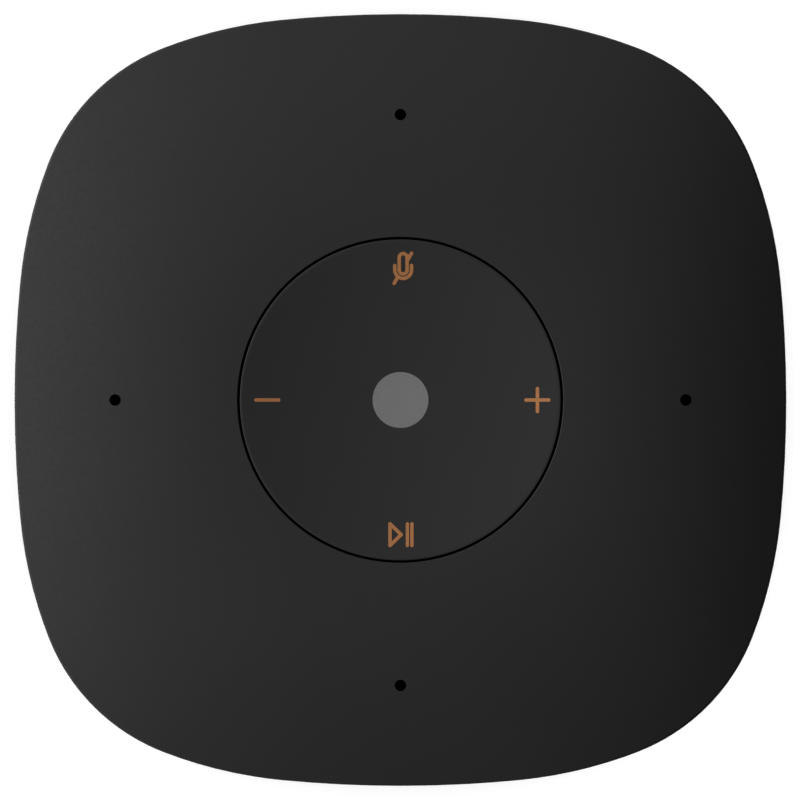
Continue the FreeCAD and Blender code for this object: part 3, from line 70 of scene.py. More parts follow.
HUB_HALF = (cad_box[1].x - cad_box[0].x) / 2 / MM
SIDE_RADIUS, SHOULDER_RADIUS, CORNER_RADIUS = 160.0, 58.0, 26.0
SIDE_ANGLE = math.radians(5.5)
SIDE_X = HUB_HALF - SIDE_RADIUS
SHOULDER_X = SIDE_X + (SIDE_RADIUS - SHOULDER_RADIUS) * math.cos(SIDE_ANGLE)
SHOULDER_Y = (SIDE_RADIUS - SHOULDER_RADIUS) * math.sin(SIDE_ANGLE)
CORNER_STEP = SHOULDER_RADIUS - CORNER_RADIUS
SHOULDER_ANGLE = math.acos((SHOULDER_Y - SHOULDER_X) / (math.sqrt(2) * CORNER_STEP)) - math.pi / 4
CORNER_XY = SHOULDER_X + CORNER_STEP * math.cos(SHOULDER_ANGLE)
EIGHTH_ARCS = (
    (SIDE_X, 0.0, SIDE_RADIUS, 0.0, SIDE_ANGLE),
    (SHOULDER_X, SHOULDER_Y, SHOULDER_RADIUS, SIDE_ANGLE, SHOULDER_ANGLE),
    (CORNER_XY, CORNER_XY, CORNER_RADIUS, SHOULDER_ANGLE, math.pi / 4),
)

HOLES_ROUND = 152
COLUMNS = 4 * HOLES_ROUND
REAR_COLUMN = COLUMNS // 4
EVEN_INSET = 2.0  # the columns are evenly spaced along the curve this far inside the outline
EIGHTH = sum((radius - EVEN_INSET) * (last - first) for _, _, radius, first, last in EIGHTH_ARCS)
COLUMN_WIDTH = 8 * EIGHTH / COLUMNS


def outline_point(column, half_width):
    """A point of the outline at this half width. Columns are spaced evenly round it, from +X to +Y."""
    eighth, along = divmod(column * COLUMN_WIDTH, EIGHTH)
    if eighth % 2:
        along = EIGHTH - along
    for x, y, radius, first, last in EIGHTH_ARCS:
        length = (radius - EVEN_INSET) * (last - first)
        angle = first + min(along, length) / (radius - EVEN_INSET)
        if along <= length:
            break
        along -= length
    reach = radius - HUB_HALF + half_width
    x, y = x + reach * math.cos(angle), y + reach * math.sin(angle)
    if eighth % 2:
        x, y = y, x
    for _ in range(int(eighth) // 2 % 4):
        x, y = -y, x
    return x, y


SHELL_TOP, SHELL_BOTTOM = 38.8, 2.0
SHELL_HALF, SHELL_TUCK, TUCK_POWER = 49.0, 9.5, 2.6
SHELL_WALL = 2.0


def shell_half(z):
    """Half the shell's width at this height: nearly upright at the top, tucked under at the foot."""
    down = max(0.0, (SHELL_TOP - z) / (SHELL_TOP - SHELL_BOTTOM))
    return SHELL_HALF - SHELL_TUCK * down**TUCK_POWER


def level_point(column, half_width, z):
    x, y = outline_point(column, half_width)
    return x * MM, y * MM, z * MM


def shell_point(column, z, inset):
    """A point on the shell's outside, or inset from it."""
    return level_point(column, shell_half(z) - inset, z)


HALVINGS = 30


def rear_column(x, z, inset):
    """The column that meets the rear side of the shell at this x, found by halving."""
    near, far = REAR_COLUMN - COLUMNS / 8, REAR_COLUMN + COLUMNS / 8
    for _ in range(HALVINGS):
        middle = (near + far) / 2
        if outline_point(middle, shell_half(z) - inset)[0] > x:
            near = middle
        else:
            far = middle
    return near


# ---------------------------------------------------------------------------------------------
# Meshes
# ---------------------------------------------------------------------------------------------


class Builder:
    """Collects vertices and faces, and turns them into an object."""

    def __init__(self):
        self.points, self.faces, self.known, self.soft_edges = [], [], {}, []

    def vertex(self, key, place, *where):
        """The vertex with this key, put at place(*where) when it is new."""
        if key not in self.known:
            self.known[key] = len(self.points)
            self.points.append(place(*where))
        return self.known[key]

    def face(self, corners, flip=False):
        self.faces.append(tuple(reversed(corners)) if flip else tuple(corners))

    def strip(self, low, high, flip=False):
        """Faces between two closed loops of vertices, either of which may be a single point."""
        count = max(len(low), len(high))
        for n in range(count):
            m = (n + 1) % count
            corners = low[n % len(low)], low[m % len(low)], high[m % len(high)], high[n % len(high)]
            self.face(tuple(dict.fromkeys(corners)), flip)

    def rounded(self, loop):
        """The edges of this closed loop get a small round."""
        self.soft_edges += [frozenset((loop[n - 1], loop[n])) for n in range(len(loop))]

    def make(self, name, sharp=35):
        mesh = bpy.data.meshes.new(name)
        mesh.from_pydata(self.points, [], self.faces)
        mesh.validate()
        mesh.shade_smooth()
        mesh.set_sharp_from_angle(angle=math.radians(sharp))
        if self.soft_edges:
            wanted = set(self.soft_edges)
            weights = mesh.attributes.new("bevel_weight_edge", "FLOAT", "EDGE")
            for edge in mesh.edges:
                weights.data[edge.index].value = float(frozenset(edge.vertices) in wanted)
        piece = bpy.data.objects.new(name, mesh)
        bpy.context.scene.collection.objects.link(piece)
        return piece


PERFORATED_FROM, ROW_PITCH, HOLE_ROWS, HOLE_RADIUS = 8.6, 1.84, 12, 0.6
WINDOW_HALF, WINDOW_LOW, WINDOW_HIGH, WINDOW_ROUND = 21.5, 15.6, 35.4, 3.5
WINDOW_COLUMNS = 44
LOW_ROWS = [2.0, 3.6, 5.2, 6.9]
HOLE_LEVELS = [PERFORATED_FROM + ROW_PITCH / 2 * n for n in range(2 * HOLE_ROWS + 1)]
HIGH_ROWS = [32.4, 34.4, 36.8]
LEVELS = LOW_ROWS + HOLE_LEVELS + HIGH_ROWS
FIRST_HOLE_ROW, LAST_ROW = len(LOW_ROWS), len(LEVELS) - 1
WINDOW_FIRST_ROW = FIRST_HOLE_ROW + 6
BETWEEN_SHARE = 0.55  # how far from the lattice to the window's outline the loop between them lies
LIP_HALF, LIP_WALL, LIP_TOP, LIP_ROOT = 47.5, 1.2, 41.0, 37.3
EDGE_ROUND = 0.2 * MM
# Steps in columns and levels from a hole's middle to the lattice points round it.
CELL_EDGE = ((-2, -1), (-1, -1), (0, -1), (1, -1), (2, -1), (2, 0),
             (2, 1), (1, 1), (0, 1), (-1, 1), (-2, 1), (-2, 0))
CELL_FIRST_ANGLE = 210


def window_point(corner, share):
    """A point on the window's rounded outline, this share of the way from one corner's middle to the next."""
    width, height = 2 * (WINDOW_HALF - WINDOW_ROUND), WINDOW_HIGH - WINDOW_LOW - 2 * WINDOW_ROUND
    straight = width if corner % 2 == 0 else height
    half_arc = WINDOW_ROUND * math.pi / 4
    along = share * (straight + 2 * half_arc)
    bend = (min(along, half_arc) + max(0, along - half_arc - straight)) / WINDOW_ROUND
    run = min(max(along - half_arc, 0), straight)
    angle = math.radians(-135 + 90 * corner) + bend
    start = ((-1, -1), (1, -1), (1, 1), (-1, 1))[corner]
    way = ((1, 0), (0, 1), (-1, 0), (0, -1))[corner]
    x = start[0] * width / 2 + way[0] * run + WINDOW_ROUND * math.cos(angle)
    z = start[1] * height / 2 + way[1] * run + WINDOW_ROUND * math.sin(angle)
    return x, z + (WINDOW_LOW + WINDOW_HIGH) / 2


class Grille(Builder):
    """The side wall, as a lattice of columns and levels on its outer and its inner face."""

    insets = {"outer": 0.0, "inner": SHELL_WALL}

    def lattice(self, layer, column, row):
        column %= COLUMNS
        return self.vertex((layer, column, row), shell_point, column, LEVELS[row], self.insets[layer])

    def lattice_loop(self, layer, row):
        return [self.lattice(layer, column, row) for column in range(COLUMNS)]

    def plain(self, column, row):
        """One cell of the wall with no hole."""
        for layer in self.insets:
            corners = [self.lattice(layer, column + a, row + c) for a, c in ((0, 0), (1, 0), (1, 1), (0, 1))]
            self.face(corners, layer == "inner")

    def perforated(self, column, row):
        """One hole and the wall round it, four columns wide and two levels high."""
        z = LEVELS[row]
        x0, y0 = outline_point(column - 1, shell_half(z))
        x1, y1 = outline_point(column + 1, shell_half(z))
        spacing = math.hypot(x1 - x0, y1 - y0) / 2
        rings = {}
        for layer, inset in self.insets.items():
            edge = [self.lattice(layer, column + a, row + c) for a, c in CELL_EDGE]
            ring = []
            for n in range(len(CELL_EDGE)):
                angle = math.radians(CELL_FIRST_ANGLE + n * 360 / len(CELL_EDGE))
                across, up = HOLE_RADIUS * math.cos(angle) / spacing, HOLE_RADIUS * math.sin(angle)
                ring.append(self.vertex((layer, column, row, n), shell_point, column + across, z + up, inset))
            self.strip(edge, ring, layer == "inner")
            rings[layer] = ring
        self.strip(rings["outer"], rings["inner"])

    def bands(self):
        """The plain wall under and over the holes."""
        top = FIRST_HOLE_ROW + 2 * HOLE_ROWS
        for row in [*range(FIRST_HOLE_ROW), *range(top, LAST_ROW)]:
            for column in range(COLUMNS):
                beside = min(abs(column - REAR_COLUMN), abs(column + 1 - REAR_COLUMN)) >= WINDOW_COLUMNS
                if row < WINDOW_FIRST_ROW or beside:
                    self.plain(column, row)

    def holes(self):
        """Rows of holes, each row half a pitch on from the last, and none where the window is."""
        for n in range(HOLE_ROWS):
            row = FIRST_HOLE_ROW + 2 * n + 1
            for hole in range(HOLES_ROUND):
                column = 4 * hole + (2 if n % 2 == 0 else 4)
                off = abs(column - REAR_COLUMN)
                if row <= WINDOW_FIRST_ROW or off >= WINDOW_COLUMNS + 2:
                    self.perforated(column, row)
                elif off == WINDOW_COLUMNS:
                    outside = column if column > REAR_COLUMN else column - 2
                    for extra in (0, 1):
                        self.plain(outside + extra, row - 1)
                        self.plain(outside + extra, row)

    def window_frame(self):
        """Three loops a face: one on the lattice, one between, and the window's own outline."""
        left, right = REAR_COLUMN - WINDOW_COLUMNS, REAR_COLUMN + WINDOW_COLUMNS
        corners = ((right, WINDOW_FIRST_ROW), (left, WINDOW_FIRST_ROW), (left, LAST_ROW), (right, LAST_ROW))
        edges = {}
        for layer, inset in self.insets.items():
            loops = [[], [], []]
            for corner in range(4):
                (c0, r0), (c1, r1) = corners[corner], corners[(corner + 1) % 4]
                steps = max(abs(c1 - c0), abs(r1 - r0))
                for step in range(steps):
                    column, row = c0 + (c1 - c0) * step // steps, r0 + (r1 - r0) * step // steps
                    x, z = window_point(corner, step / steps)
                    rim = rear_column(x, z, inset)
                    loops[0].append(self.lattice(layer, column, row))
                    for loop, share in ((1, BETWEEN_SHARE), (2, 1.0)):
                        at = column + (rim - column) * share, LEVELS[row] + (z - LEVELS[row]) * share
                        key = layer, "window", loop, corner, step
                        loops[loop].append(self.vertex(key, shell_point, *at, inset))
            self.strip(loops[0], loops[1], layer == "inner")
            self.strip(loops[1], loops[2], layer == "inner")
            edges[layer] = loops[2]
        self.strip(edges["outer"], edges["inner"])
        self.rounded(edges["outer"])

    def foot(self):
        outer, inner = self.lattice_loop("outer", 0), self.lattice_loop("inner", 0)
        self.strip(inner, outer)
        self.rounded(outer)
        self.rounded(inner)

    def lip(self):
        """The stepped lip on the wall's top edge, which the cover sits on."""
        profile = (
            ("shoulder", SHELL_HALF, SHELL_TOP),
            ("lip_foot", LIP_HALF, SHELL_TOP),
            ("lip_outside", LIP_HALF, LIP_TOP),
            ("lip_inside", LIP_HALF - LIP_WALL, LIP_TOP),
            ("lip_root", LIP_HALF - LIP_WALL, LIP_ROOT),
            ("wall_root", shell_half(LIP_ROOT) - SHELL_WALL, LIP_ROOT),
        )
        loops = {"wall_outside": self.lattice_loop("outer", LAST_ROW)}
        for name, half_width, z in profile:
            loops[name] = [self.vertex((name, column), level_point, column, half_width, z)
                           for column in range(COLUMNS)]
        loops["wall_inside"] = self.lattice_loop("inner", LAST_ROW)
        in_order = list(loops.values())
        for lower, upper in zip(in_order, in_order[1:]):
            self.strip(lower, upper)
        for name in ("shoulder", "lip_outside", "lip_inside"):
            self.rounded(loops[name])


def make_grille():
    """The side wall with its perforations, rear window and lip."""
    b = Grille()
    b.bands()
    b.holes()
    b.window_frame()
    b.foot()
    b.lip()
    piece = b.make("perforated_grille")
    bevel = piece.modifiers.new("small_rounds", "BEVEL")
    bevel.limit_method, bevel.width, bevel.segments = "WEIGHT", EDGE_ROUND, 2
    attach(piece, "housing")
    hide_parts("grille_shell")
    return piece


CLOTH_LOW, CLOTH_HIGH, CLOTH_INSET, CLOTH_THICKNESS = 8.0, 31.0, 2.23, 0.36
CLOTH_NOTCH_HALF, CLOTH_NOTCH_LOW, CLOTH_NOTCH_ROUND = 23.5, 13.6, 5.5
CLOTH_ROWS = 12


def cloth_top(column):
    """How high the cloth reaches: it is notched round the window in the shell."""
    x = abs(shell_point(column, CLOTH_NOTCH_LOW, CLOTH_INSET)[0] / MM)
    if abs(column - REAR_COLUMN) > COLUMNS / 8 or x > CLOTH_NOTCH_HALF:
        return CLOTH_HIGH
    past = max(0, x - CLOTH_NOTCH_HALF + CLOTH_NOTCH_ROUND)
    return CLOTH_NOTCH_LOW + CLOTH_NOTCH_ROUND - math.sqrt(CLOTH_NOTCH_ROUND**2 - past**2)


def make_cloth():
    """The acoustic cloth stretched round the inside of the perforations."""
    b = Builder()
    rows = []
    for row in range(CLOTH_ROWS + 1):
        loop = []
        for column in range(0, COLUMNS, 2):
            z = CLOTH_LOW + (cloth_top(column) - CLOTH_LOW) * row / CLOTH_ROWS
            loop.append(b.vertex((column, row), shell_point, column, z, CLOTH_INSET))
        rows.append(loop)
    for low, high in zip(rows, rows[1:]):
        b.strip(low, high)
    piece = b.make("stretched_cloth", sharp=80)
    foot = [b.points[number] for number in rows[0]]
    round_foot = sum(math.dist(foot[n - 1], foot[n]) for n in range(len(foot)))
    across = math.dist(shell_point(0, CLOTH_LOW, CLOTH_INSET), shell_point(0, CLOTH_HIGH, CLOTH_INSET))
    solid = piece.modifiers.new("thickness", "SOLIDIFY")
    solid.thickness, solid.offset = CLOTH_THICKNESS * MM, 0
    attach(piece, "housing")
    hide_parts("grille_cloth")
    return piece


# ---------------------------------------------------------------------------------------------
# The silicone domes under the control disc, which give way as it rocks
# ---------------------------------------------------------------------------------------------

DOME_JOINTS = {"volume_up_dome": "rock_left_right", "volume_down_dome": "rock_left_right",
               "mute_dome": "rock_front_back", "play_pause_dome": "rock_front_back"}
DOME_SIDES, DOME_KEEP = 48, 0.8
PILL_RADIUS, PILL_LEVEL = 0.3, 0.56
CROWN_RADIUS, CROWN_LEVEL = 0.414, 0.76
DOME_SECTION = (
    (0, PILL_LEVEL), (PILL_RADIUS - 0.02, PILL_LEVEL), (PILL_RADIUS, PILL_LEVEL + 0.02),
    (PILL_RADIUS, CROWN_LEVEL), (CROWN_RADIUS - 0.03, CROWN_LEVEL), (CROWN_RADIUS, CROWN_LEVEL - 0.04),
    (0.69, 0.03), (0.7, 0), (0.97, 0), (1, 0.02), (1, 0.13), (0.97, 0.16), (0.9, 0.16), (0.855, 0.2),
    (0.65, 0.9), (0.63, 0.96), (0.58, 1), (0, 1),
)


def make_dome(node, joint):
    """A key dome with a contact pill under its crown. Its section is in shares of its radius and height."""
    low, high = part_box(node)
    x, y = (low[0] + high[0]) / 2, (low[1] + high[1]) / 2
    radius, height = (high[0] - low[0]) / 2, high[2] - low[2]

    def place(share, level, turn):
        out = radius * share
        return x + out * math.cos(turn), y + out * math.sin(turn), low[2] + height * level

    b = Builder()
    loops = []
    for number, (share, level) in enumerate(DOME_SECTION):
        sides = DOME_SIDES if share else 1
        loops.append([b.vertex((number, side), place, share, level, 2 * math.pi * side / DOME_SIDES)
                      for side in range(sides)])
    for inner, outer in zip(loops, loops[1:]):
        b.strip(inner, outer)
    piece = b.make(f"soft_{node}", sharp=50)
    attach(piece, "housing")
    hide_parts(node)
    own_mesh(piece)
    return piece


# ---------------------------------------------------------------------------------------------
# Materials
# ---------------------------------------------------------------------------------------------

PLAIN = "plain_"  # put before the names of the materials that the frame comes with


class Finish:
    """One procedural material. Lengths are in millimetres of the real object."""

    def __init__(self, name, colour, roughness, **constants):
        plain = bpy.data.materials.get(name)
        if plain:
            plain.name = PLAIN + name
        self.material = bpy.data.materials.new(name)
        self.material.use_nodes = True
        self.tree = self.material.node_tree
        self.shader = self.tree.nodes["Principled BSDF"]
        self.shader.inputs["Base Color"].default_value = (*colour, 1)
        self.shader.inputs["Roughness"].default_value = roughness
        for label, number in constants.items():
            self.shader.inputs[label.replace("_", " ")].default_value = number
        self.colour, self.normal = (*colour, 1), None
        self.position = self.add("ShaderNodeTexCoord").outputs["Object"]

    def add(self, kind, **settings):
        node = self.tree.nodes.new(kind)
        for label, setting in settings.items():
            setattr(node, label, setting)
        return node

    def set(self, socket, source):
        """source is another node's output, or a plain value."""
        if isinstance(source, bpy.types.NodeSocket):
            self.tree.links.new(source, socket)
        else:
            socket.default_value = source

    def maths(self, operation, first, second=0.0):
        node = self.add("ShaderNodeMath", operation=operation)
        self.set(node.inputs[0], first)
        self.set(node.inputs[1], second)
        return node.outputs[0]

    def noise(self, size, detail=2.0, stretch=(1, 1, 1)):
        """Soft random mottling, size across."""
        mapping = self.add("ShaderNodeMapping")
        self.set(mapping.inputs["Vector"], self.position)
        mapping.inputs["Scale"].default_value = [1 / (s * MM) for s in stretch]
        node = self.add("ShaderNodeTexNoise")
        self.set(node.inputs["Vector"], mapping.outputs[0])
        node.inputs["Scale"].default_value = 1 / size
        node.inputs["Detail"].default_value = detail
        return node.outputs[0]

    def cells(self, size, randomness=1.0):
        """Distance from the middle of the nearest random cell, size across."""
        node = self.add("ShaderNodeTexVoronoi")
        self.set(node.inputs["Vector"], self.position)
        node.inputs["Scale"].default_value = 1 / (size * MM)
        node.inputs["Randomness"].default_value = randomness
        return node.outputs["Distance"]

    def axis(self, name):
        node = self.add("ShaderNodeSeparateXYZ")
        self.set(node.inputs[0], self.position)
        return node.outputs[name]

    def radius(self):
        """Distance from the hub's upright middle line, in metres."""
        squares = [self.maths("POWER", self.axis(name), 2.0) for name in "XY"]
        return self.maths("SQRT", self.maths("ADD", *squares))

    def waves(self, source, pitch):
        """Even ridges from 0 to 1 along source, which is a length in metres."""
        turns = self.maths("MULTIPLY", source, 2 * math.pi / (pitch * MM))
        return self.maths("ADD", self.maths("MULTIPLY", self.maths("SINE", turns), 0.5), 0.5)

    def scaled(self, source, low, high, to_low, to_high):
        """Source, with low to high stretched to to_low to to_high and held there."""
        node = self.add("ShaderNodeMapRange")
        limits = {"From Min": low, "From Max": high, "To Min": to_low, "To Max": to_high}
        for label, number in limits.items():
            node.inputs[label].default_value = number
        self.set(node.inputs["Value"], source)
        return node.outputs[0]

    def tint(self, factor, colour):
        """Blends the base colour towards another by factor."""
        node = self.add("ShaderNodeMix", data_type="RGBA")
        self.set(node.inputs[0], factor)
        self.set(node.inputs[6], self.colour)
        self.set(node.inputs[7], (*colour, 1))
        self.colour = node.outputs[2]
        self.set(self.shader.inputs["Base Color"], self.colour)
        return self

    def rough(self, source, smooth, dull):
        """Roughness from smooth to dull as source goes from 0.3 to 0.7."""
        self.set(self.shader.inputs["Roughness"], self.scaled(source, 0.3, 0.7, smooth, dull))
        return self

    def bump(self, source, height):
        """Relief that is height deep in millimetres, on top of any that is there."""
        node = self.add("ShaderNodeBump")
        node.inputs["Distance"].default_value = height * MM
        self.set(node.inputs["Height"], source)
        if self.normal is not None:
            self.set(node.inputs["Normal"], self.normal)
        self.normal = node.outputs[0]
        self.set(self.shader.inputs["Normal"], self.normal)
        return self


def moulded(name, colour, roughness, grain=0.16, depth=0.004, lift=1.25, **constants):
    """Injection-moulded plastic with a spark-eroded texture and faint flow mottling."""
    f = Finish(name, colour, roughness, **constants)
    f.tint(f.scaled(f.noise(14, 2), 0.35, 0.65, 0, 0.35), [c * lift for c in colour])
    f.tint(f.scaled(f.noise(grain * 2, 2), 0.45, 0.8, 0, 0.5), [c * lift for c in colour])
    f.rough(f.noise(grain * 3, 3), roughness - 0.04, roughness + 0.04)
    return f.bump(f.noise(grain, 2), depth).bump(f.cells(grain * 1.6), depth * 0.6)


def metal(name, colour, roughness, brush=(1, 1, 1), depth=0.002, tarnish=None, **constants):
    """Bare or plated metal with fine tool marks stretched along brush."""
    f = Finish(name, colour, roughness, Metallic=1.0, **constants)
    f.tint(f.scaled(f.noise(2.2, 4), 0.35, 0.7, 0, 0.6), tarnish or [c * 0.72 for c in colour])
    f.rough(f.noise(0.5, 3, brush), roughness - 0.07, roughness + 0.1)
    return f.bump(f.noise(0.12, 2, brush), depth)


def rubber(name, colour, roughness, grain=0.22, depth=0.006, **constants):
    """Elastomer: dull, very slightly pebbled, with a paler bloom here and there."""
    f = Finish(name, colour, roughness, **constants)
    f.tint(f.scaled(f.noise(4.5, 4), 0.45, 0.75, 0, 0.3), [c * 1.9 + 0.004 for c in colour])
    f.rough(f.noise(1.6, 3), roughness - 0.06, roughness + 0.06)
    return f.bump(f.cells(grain), depth)


def woven(name, colour, pitch, depth, **constants):
    """Plain-weave cloth: threads round the hub and threads up it, with a little slub, and painted shade
    between the threads.
    """
    f = Finish(name, colour, 0.9, **constants)
    turn = f.maths("ARCTAN2", f.axis("Y"), f.axis("X"))
    across = f.maths("MULTIPLY", turn, HUB_HALF * MM)
    weave = f.maths("MULTIPLY", f.waves(across, pitch), f.waves(f.axis("Z"), pitch))
    # Darker between the threads, where they don't cross: painted shade.
    f.tint(f.scaled(weave, 0, 1, 0.8, 0), [c * 0.35 for c in colour])
    f.tint(f.scaled(f.noise(1.5, 3), 0.45, 0.75, 0, 0.4), [c * 1.8 for c in colour])
    return f.bump(weave, depth)


def make_materials():
    """One finish for each material slot in the record."""
    black, satin_black = (0.0105, 0.0105, 0.0108), (0.0165, 0.0164, 0.0166)
    slots = {
        "cover_plastic": moulded("cover_plastic", satin_black, 0.76, depth=0.0022, lift=1.12,
                                 Specular_IOR_Level=0.2),
        "disc_plastic": moulded("disc_plastic", satin_black, 0.74, depth=0.0020, lift=1.12,
                                Specular_IOR_Level=0.2),
        "grille_plastic": moulded("grille_plastic", black, 0.62, depth=0.004, Specular_IOR_Level=0.3),
        "base_plastic": moulded("base_plastic", (0.012, 0.012, 0.012), 0.66, grain=0.3, depth=0.01,
                                Specular_IOR_Level=0.35),
        "port_plastic": moulded("port_plastic", (0.011, 0.011, 0.0115), 0.55, depth=0.003,
                                Specular_IOR_Level=0.35),
        "socket_plastic": moulded("socket_plastic", (0.014, 0.014, 0.015), 0.42, grain=0.1, depth=0.0015),
        "inner_plastic": moulded("inner_plastic", (0.022, 0.022, 0.023), 0.5, grain=0.25, depth=0.004),
        "white_plastic": moulded("white_plastic", (0.62, 0.6, 0.54), 0.4, grain=0.12, depth=0.0015,
                                 lift=0.93),
        "rubber": rubber("rubber", (0.012, 0.012, 0.0125), 0.82),
        "silicone": rubber("silicone", (0.34, 0.35, 0.36), 0.45, grain=0.3, depth=0.002,
                           Subsurface_Weight=0.2),
        "thermal_silicone": rubber("thermal_silicone", (0.2, 0.27, 0.34), 0.85, grain=0.12, depth=0.004),
        "steel": metal("steel", (0.56, 0.57, 0.58), 0.32, brush=(1, 9, 1)),
        "black_steel": metal("black_steel", (0.035, 0.035, 0.038), 0.46, tarnish=(0.07, 0.068, 0.065)),
        "ballast_iron": metal("ballast_iron", (0.2, 0.19, 0.18), 0.62, depth=0.01,
                              tarnish=(0.13, 0.075, 0.045)),
        "gold_contact": metal("gold_contact", (0.88, 0.6, 0.24), 0.26, brush=(9, 1, 1), depth=0.001),
        "heat_aluminium": metal("heat_aluminium", (0.72, 0.73, 0.74), 0.38, brush=(12, 1, 1)),
    }
    for made in (copper_inlay(), light_diffuser(), circuit_board(), chip_black(), magnet_ferrite(),
                 paper_cone(), coil_former(), cable_white(), wire_pvc(),
                 woven("acoustic_cloth", (0.008, 0.008, 0.0085), 0.34, 0.06, Sheen_Weight=0.15)):
        slots[made.material.name] = made
    return slots


def copper_inlay():
    """Printed copper-coloured ink: part pigment, part metal flake."""
    f = Finish("copper_inlay", (0.41, 0.162, 0.048), 0.5, Metallic=0.25)
    f.tint(f.scaled(f.noise(0.5, 3), 0.35, 0.7, 0, 0.8), (0.31, 0.148, 0.075))
    f.rough(f.noise(0.15, 2), 0.42, 0.6)
    return f.bump(f.cells(0.06), 0.002)


def light_diffuser():
    """Milky diffuser over the status light, which is off, with painted shade towards its rim."""
    f = Finish("light_diffuser", (0.151, 0.151, 0.151), 0.55, Subsurface_Weight=0.15,
               Subsurface_Scale=0.001, Specular_IOR_Level=0.35)
    # A little darker towards the rim of the light: painted shade.
    f.tint(f.scaled(f.radius(), 0.0, 0.0036, 0, 0.25), (0.14, 0.14, 0.14))
    f.rough(f.noise(0.6, 3), 0.5, 0.6)
    return f.bump(f.noise(0.1, 2), 0.001)


def circuit_board():
    """Green solder mask over faint copper tracks, with plated pads."""
    f = Finish("circuit_board", (0.006, 0.055, 0.022), 0.35, Coat_Weight=0.4, Coat_Roughness=0.2)
    tracks = f.add("ShaderNodeTexBrick", offset=0.37, offset_frequency=3, squash=0.6, squash_frequency=2)
    f.set(tracks.inputs["Vector"], f.position)
    for label, number in (("Scale", 1.0), ("Mortar Size", 0.00012), ("Mortar Smooth", 0.15),
                          ("Brick Width", 0.0047), ("Row Height", 0.00083)):
        tracks.inputs[label].default_value = number
    f.tint(tracks.outputs["Fac"], (0.02, 0.115, 0.045))
    vias = f.scaled(f.cells(2.3, randomness=0.8), 0.09, 0.12, 1, 0)
    f.tint(vias, (0.5, 0.36, 0.14))
    f.rough(f.noise(2.0, 3), 0.3, 0.42)
    return f.bump(tracks.outputs["Fac"], 0.03)


def chip_black():
    """Moulded chip packages: charcoal epoxy with pale mica flecks, partly their own tone and partly a painted
    glint.
    """
    f = Finish("chip_black", (0.02, 0.02, 0.022), 0.6)
    # Pale flecks: the mica's own paler tone, brightened further into a painted glint for its sparkle.
    f.tint(f.scaled(f.cells(0.09), 0.0, 0.25, 0.8, 0), (0.075, 0.075, 0.08))
    f.rough(f.noise(0.9, 3), 0.5, 0.68)
    return f.bump(f.noise(0.08, 2), 0.004)


def magnet_ferrite():
    """Ground ceramic magnet: dark grey, with grinding lines and pale dust in its pores."""
    f = Finish("magnet_ferrite", (0.045, 0.044, 0.045), 0.55)
    f.tint(f.scaled(f.noise(0.4, 5), 0.5, 0.75, 0, 0.7), (0.12, 0.115, 0.11))
    f.rough(f.noise(0.6, 3, (1, 14, 1)), 0.4, 0.62)
    return f.bump(f.noise(0.2, 2, (1, 14, 1)), 0.006)


def paper_cone():
    """Pressed pulp: charcoal fibres lying every way."""
    f = Finish("paper_cone", (0.03, 0.029, 0.028), 0.88, Sheen_Weight=0.1)
    fibres = f.maths("MULTIPLY", f.noise(0.25, 4, (1, 7, 1)), f.noise(0.25, 4, (7, 1, 1)))
    f.tint(f.scaled(fibres, 0.2, 0.4, 0, 0.9), (0.085, 0.08, 0.075))
    f.rough(f.noise(1.2, 3), 0.8, 0.95)
    return f.bump(fibres, 0.06)


def coil_former():
    """The voice coil: enamelled copper wire wound in even turns, with painted shade in the grooves between
    them.
    """
    f = Finish("coil_former", (0.55, 0.2, 0.07), 0.3, Metallic=0.9, Coat_Weight=0.5)
    turns = f.waves(f.axis("Z"), 0.16)
    # Darker in the grooves between the turns: painted shade.
    f.tint(f.scaled(turns, 0, 0.5, 0.8, 0), (0.09, 0.025, 0.01))
    f.rough(f.noise(0.8, 2), 0.24, 0.38)
    return f.bump(turns, 0.05)


def cable_white():
    """Flat flexible cable: white film over parallel conductors."""
    f = Finish("cable_white", (0.55, 0.55, 0.53), 0.35, Coat_Weight=0.3)
    lanes = f.waves(f.axis("X"), 0.5)
    f.tint(f.scaled(lanes, 0.55, 0.95, 0, 0.5), (0.33, 0.31, 0.27))
    f.rough(f.noise(1.2, 2), 0.3, 0.42)
    return f.bump(lanes, 0.03)


def wire_pvc():
    """PVC-covered wire with a slight orange-peel skin."""
    f = Finish("wire_pvc", (0.025, 0.024, 0.024), 0.4)
    f.tint(f.scaled(f.noise(1.8, 3), 0.4, 0.75, 0, 0.5), (0.05, 0.048, 0.048))
    f.rough(f.noise(0.7, 3), 0.34, 0.5)
    return f.bump(f.noise(0.3, 2), 0.01)


def dress(finishes, pieces):
    """Gives each CAD node the finish of its own slot, and each new piece that of the slot it names."""
    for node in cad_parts.values():
        for slot in node.material_slots:
            slot.material = finishes[slot.material.name.removeprefix(PLAIN)].material
    for piece, slot in pieces:
        piece.data.materials.clear()
        piece.data.materials.append(finishes[slot].material)


# ---------------------------------------------------------------------------------------------
# Studio and camera
# ---------------------------------------------------------------------------------------------

FLOOR_HALF, FLOOR_GAP = 12.0, 0.05 * MM
FLOOR_WHITE, FLOOR_GLOW = 0.9, 0.25
DOME_DROP = 4.6 * MM
HUB_TOP = Vector((0, 0, cad_box[1].z))
LENS, SENSOR = 600, 36


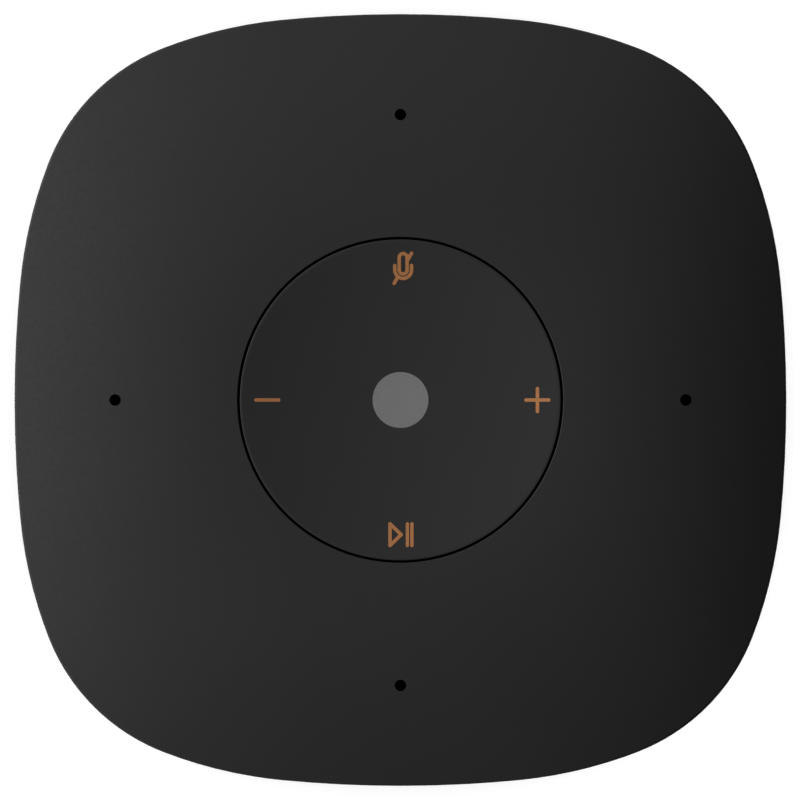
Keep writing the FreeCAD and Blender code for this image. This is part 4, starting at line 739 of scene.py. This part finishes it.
def make_floor():
    """A large sheet of white paper that glows a little, so that it stays white to the frame's edge."""
    mesh = bpy.data.meshes.new("floor")
    form = bmesh.new()
    bmesh.ops.create_grid(form, x_segments=8, y_segments=8, size=FLOOR_HALF)
    form.to_mesh(mesh)
    form.free()
    floor = bpy.data.objects.new("floor", mesh)
    floor.location.z = cad_box[0].z - FLOOR_GAP
    bpy.context.scene.collection.objects.link(floor)
    f = Finish("floor_paper", (FLOOR_WHITE,) * 3, 0.9, Specular_IOR_Level=0.2,
               Emission_Color=(1, 1, 1, 1), Emission_Strength=FLOOR_GLOW)
    f.tint(f.scaled(f.noise(400, 2), 0.4, 0.6, 0, 1), (FLOOR_WHITE * 0.985,) * 3)
    mesh.materials.append(f.material)
    return floor


def area_light(name, azimuth, elevation, distance, size, radiance, only=None, spare=None):
    """A round soft light aimed at the hub, with its azimuth counted from +X towards +Y.

    It lights one object only, or spares one, where that is given."""
    lamp = bpy.data.lights.new(name, "AREA")
    lamp.shape, lamp.size = "DISK", size
    disk_area = math.pi * size**2 / 4
    lamp.energy = radiance * disk_area * math.pi
    light = bpy.data.objects.new(name, lamp)
    a, e = math.radians(azimuth), math.radians(elevation)
    away = Vector((math.cos(a) * math.cos(e), math.sin(a) * math.cos(e), math.sin(e)))
    light.location = HUB_TOP + away * distance
    light.rotation_mode = "QUATERNION"
    light.rotation_quaternion = away.to_track_quat("Z", "Y")
    light.visible_camera = False
    bpy.context.scene.collection.objects.link(light)
    if only or spare:
        group = bpy.data.collections.new(f"{name}_receivers")
        group.objects.link(only or spare)
        light.light_linking.receiver_collection = group
        if spare:
            group.collection_objects[0].light_linking.link_state = "EXCLUDE"


def make_world(shown, lighting):
    """A pale backdrop that only dimly lights the hub."""
    world = bpy.data.worlds.new("studio")
    world.use_nodes = True
    nodes, links = world.node_tree.nodes, world.node_tree.links
    background = nodes["Background"]
    path = nodes.new("ShaderNodeLightPath")
    strength = nodes.new("ShaderNodeMapRange")
    strength.inputs["To Min"].default_value = lighting
    strength.inputs["To Max"].default_value = shown
    links.new(path.outputs["Is Camera Ray"], strength.inputs["Value"])
    links.new(strength.outputs[0], background.inputs["Strength"])
    background.inputs["Color"].default_value = (1, 1, 1, 1)
    bpy.context.scene.world = world


def make_camera(share_of_frame, aside):
    """Straight above the hub with a very long lens. The rim fills this share of the frame's half.

    The camera stands aside from the hub's middle line by this many millimetres."""
    data = bpy.data.cameras.new("camera")
    data.lens, data.sensor_width = LENS, SENSOR
    rim_top = HUB_TOP.z - DOME_DROP
    distance = HUB_HALF * MM / (share_of_frame * SENSOR / 2 / LENS)
    camera = bpy.data.objects.new("camera", data)
    camera.location = aside * MM, 0, rim_top + distance
    data.clip_start, data.clip_end = 0.1, 100
    bpy.context.scene.collection.objects.link(camera)
    bpy.context.scene.camera = camera


grille = make_grille()
cloth = make_cloth()
domes = [make_dome(node, joint) for node, joint in DOME_JOINTS.items()]
dress(make_materials(), [(grille, "grille_plastic"), (cloth, "acoustic_cloth"),
                         *((dome, "silicone") for dome in domes)])

floor = make_floor()
area_light("key", azimuth=164, elevation=26, distance=6, size=2.25, radiance=60, spare=floor)
area_light("overhead", azimuth=0, elevation=90, distance=2.5, size=2.2, radiance=9, only=floor)
make_world(shown=1.0, lighting=0.02)
make_camera(share_of_frame=0.965, aside=-0.06)
bpy.context.scene.view_settings.view_transform = "Standard"
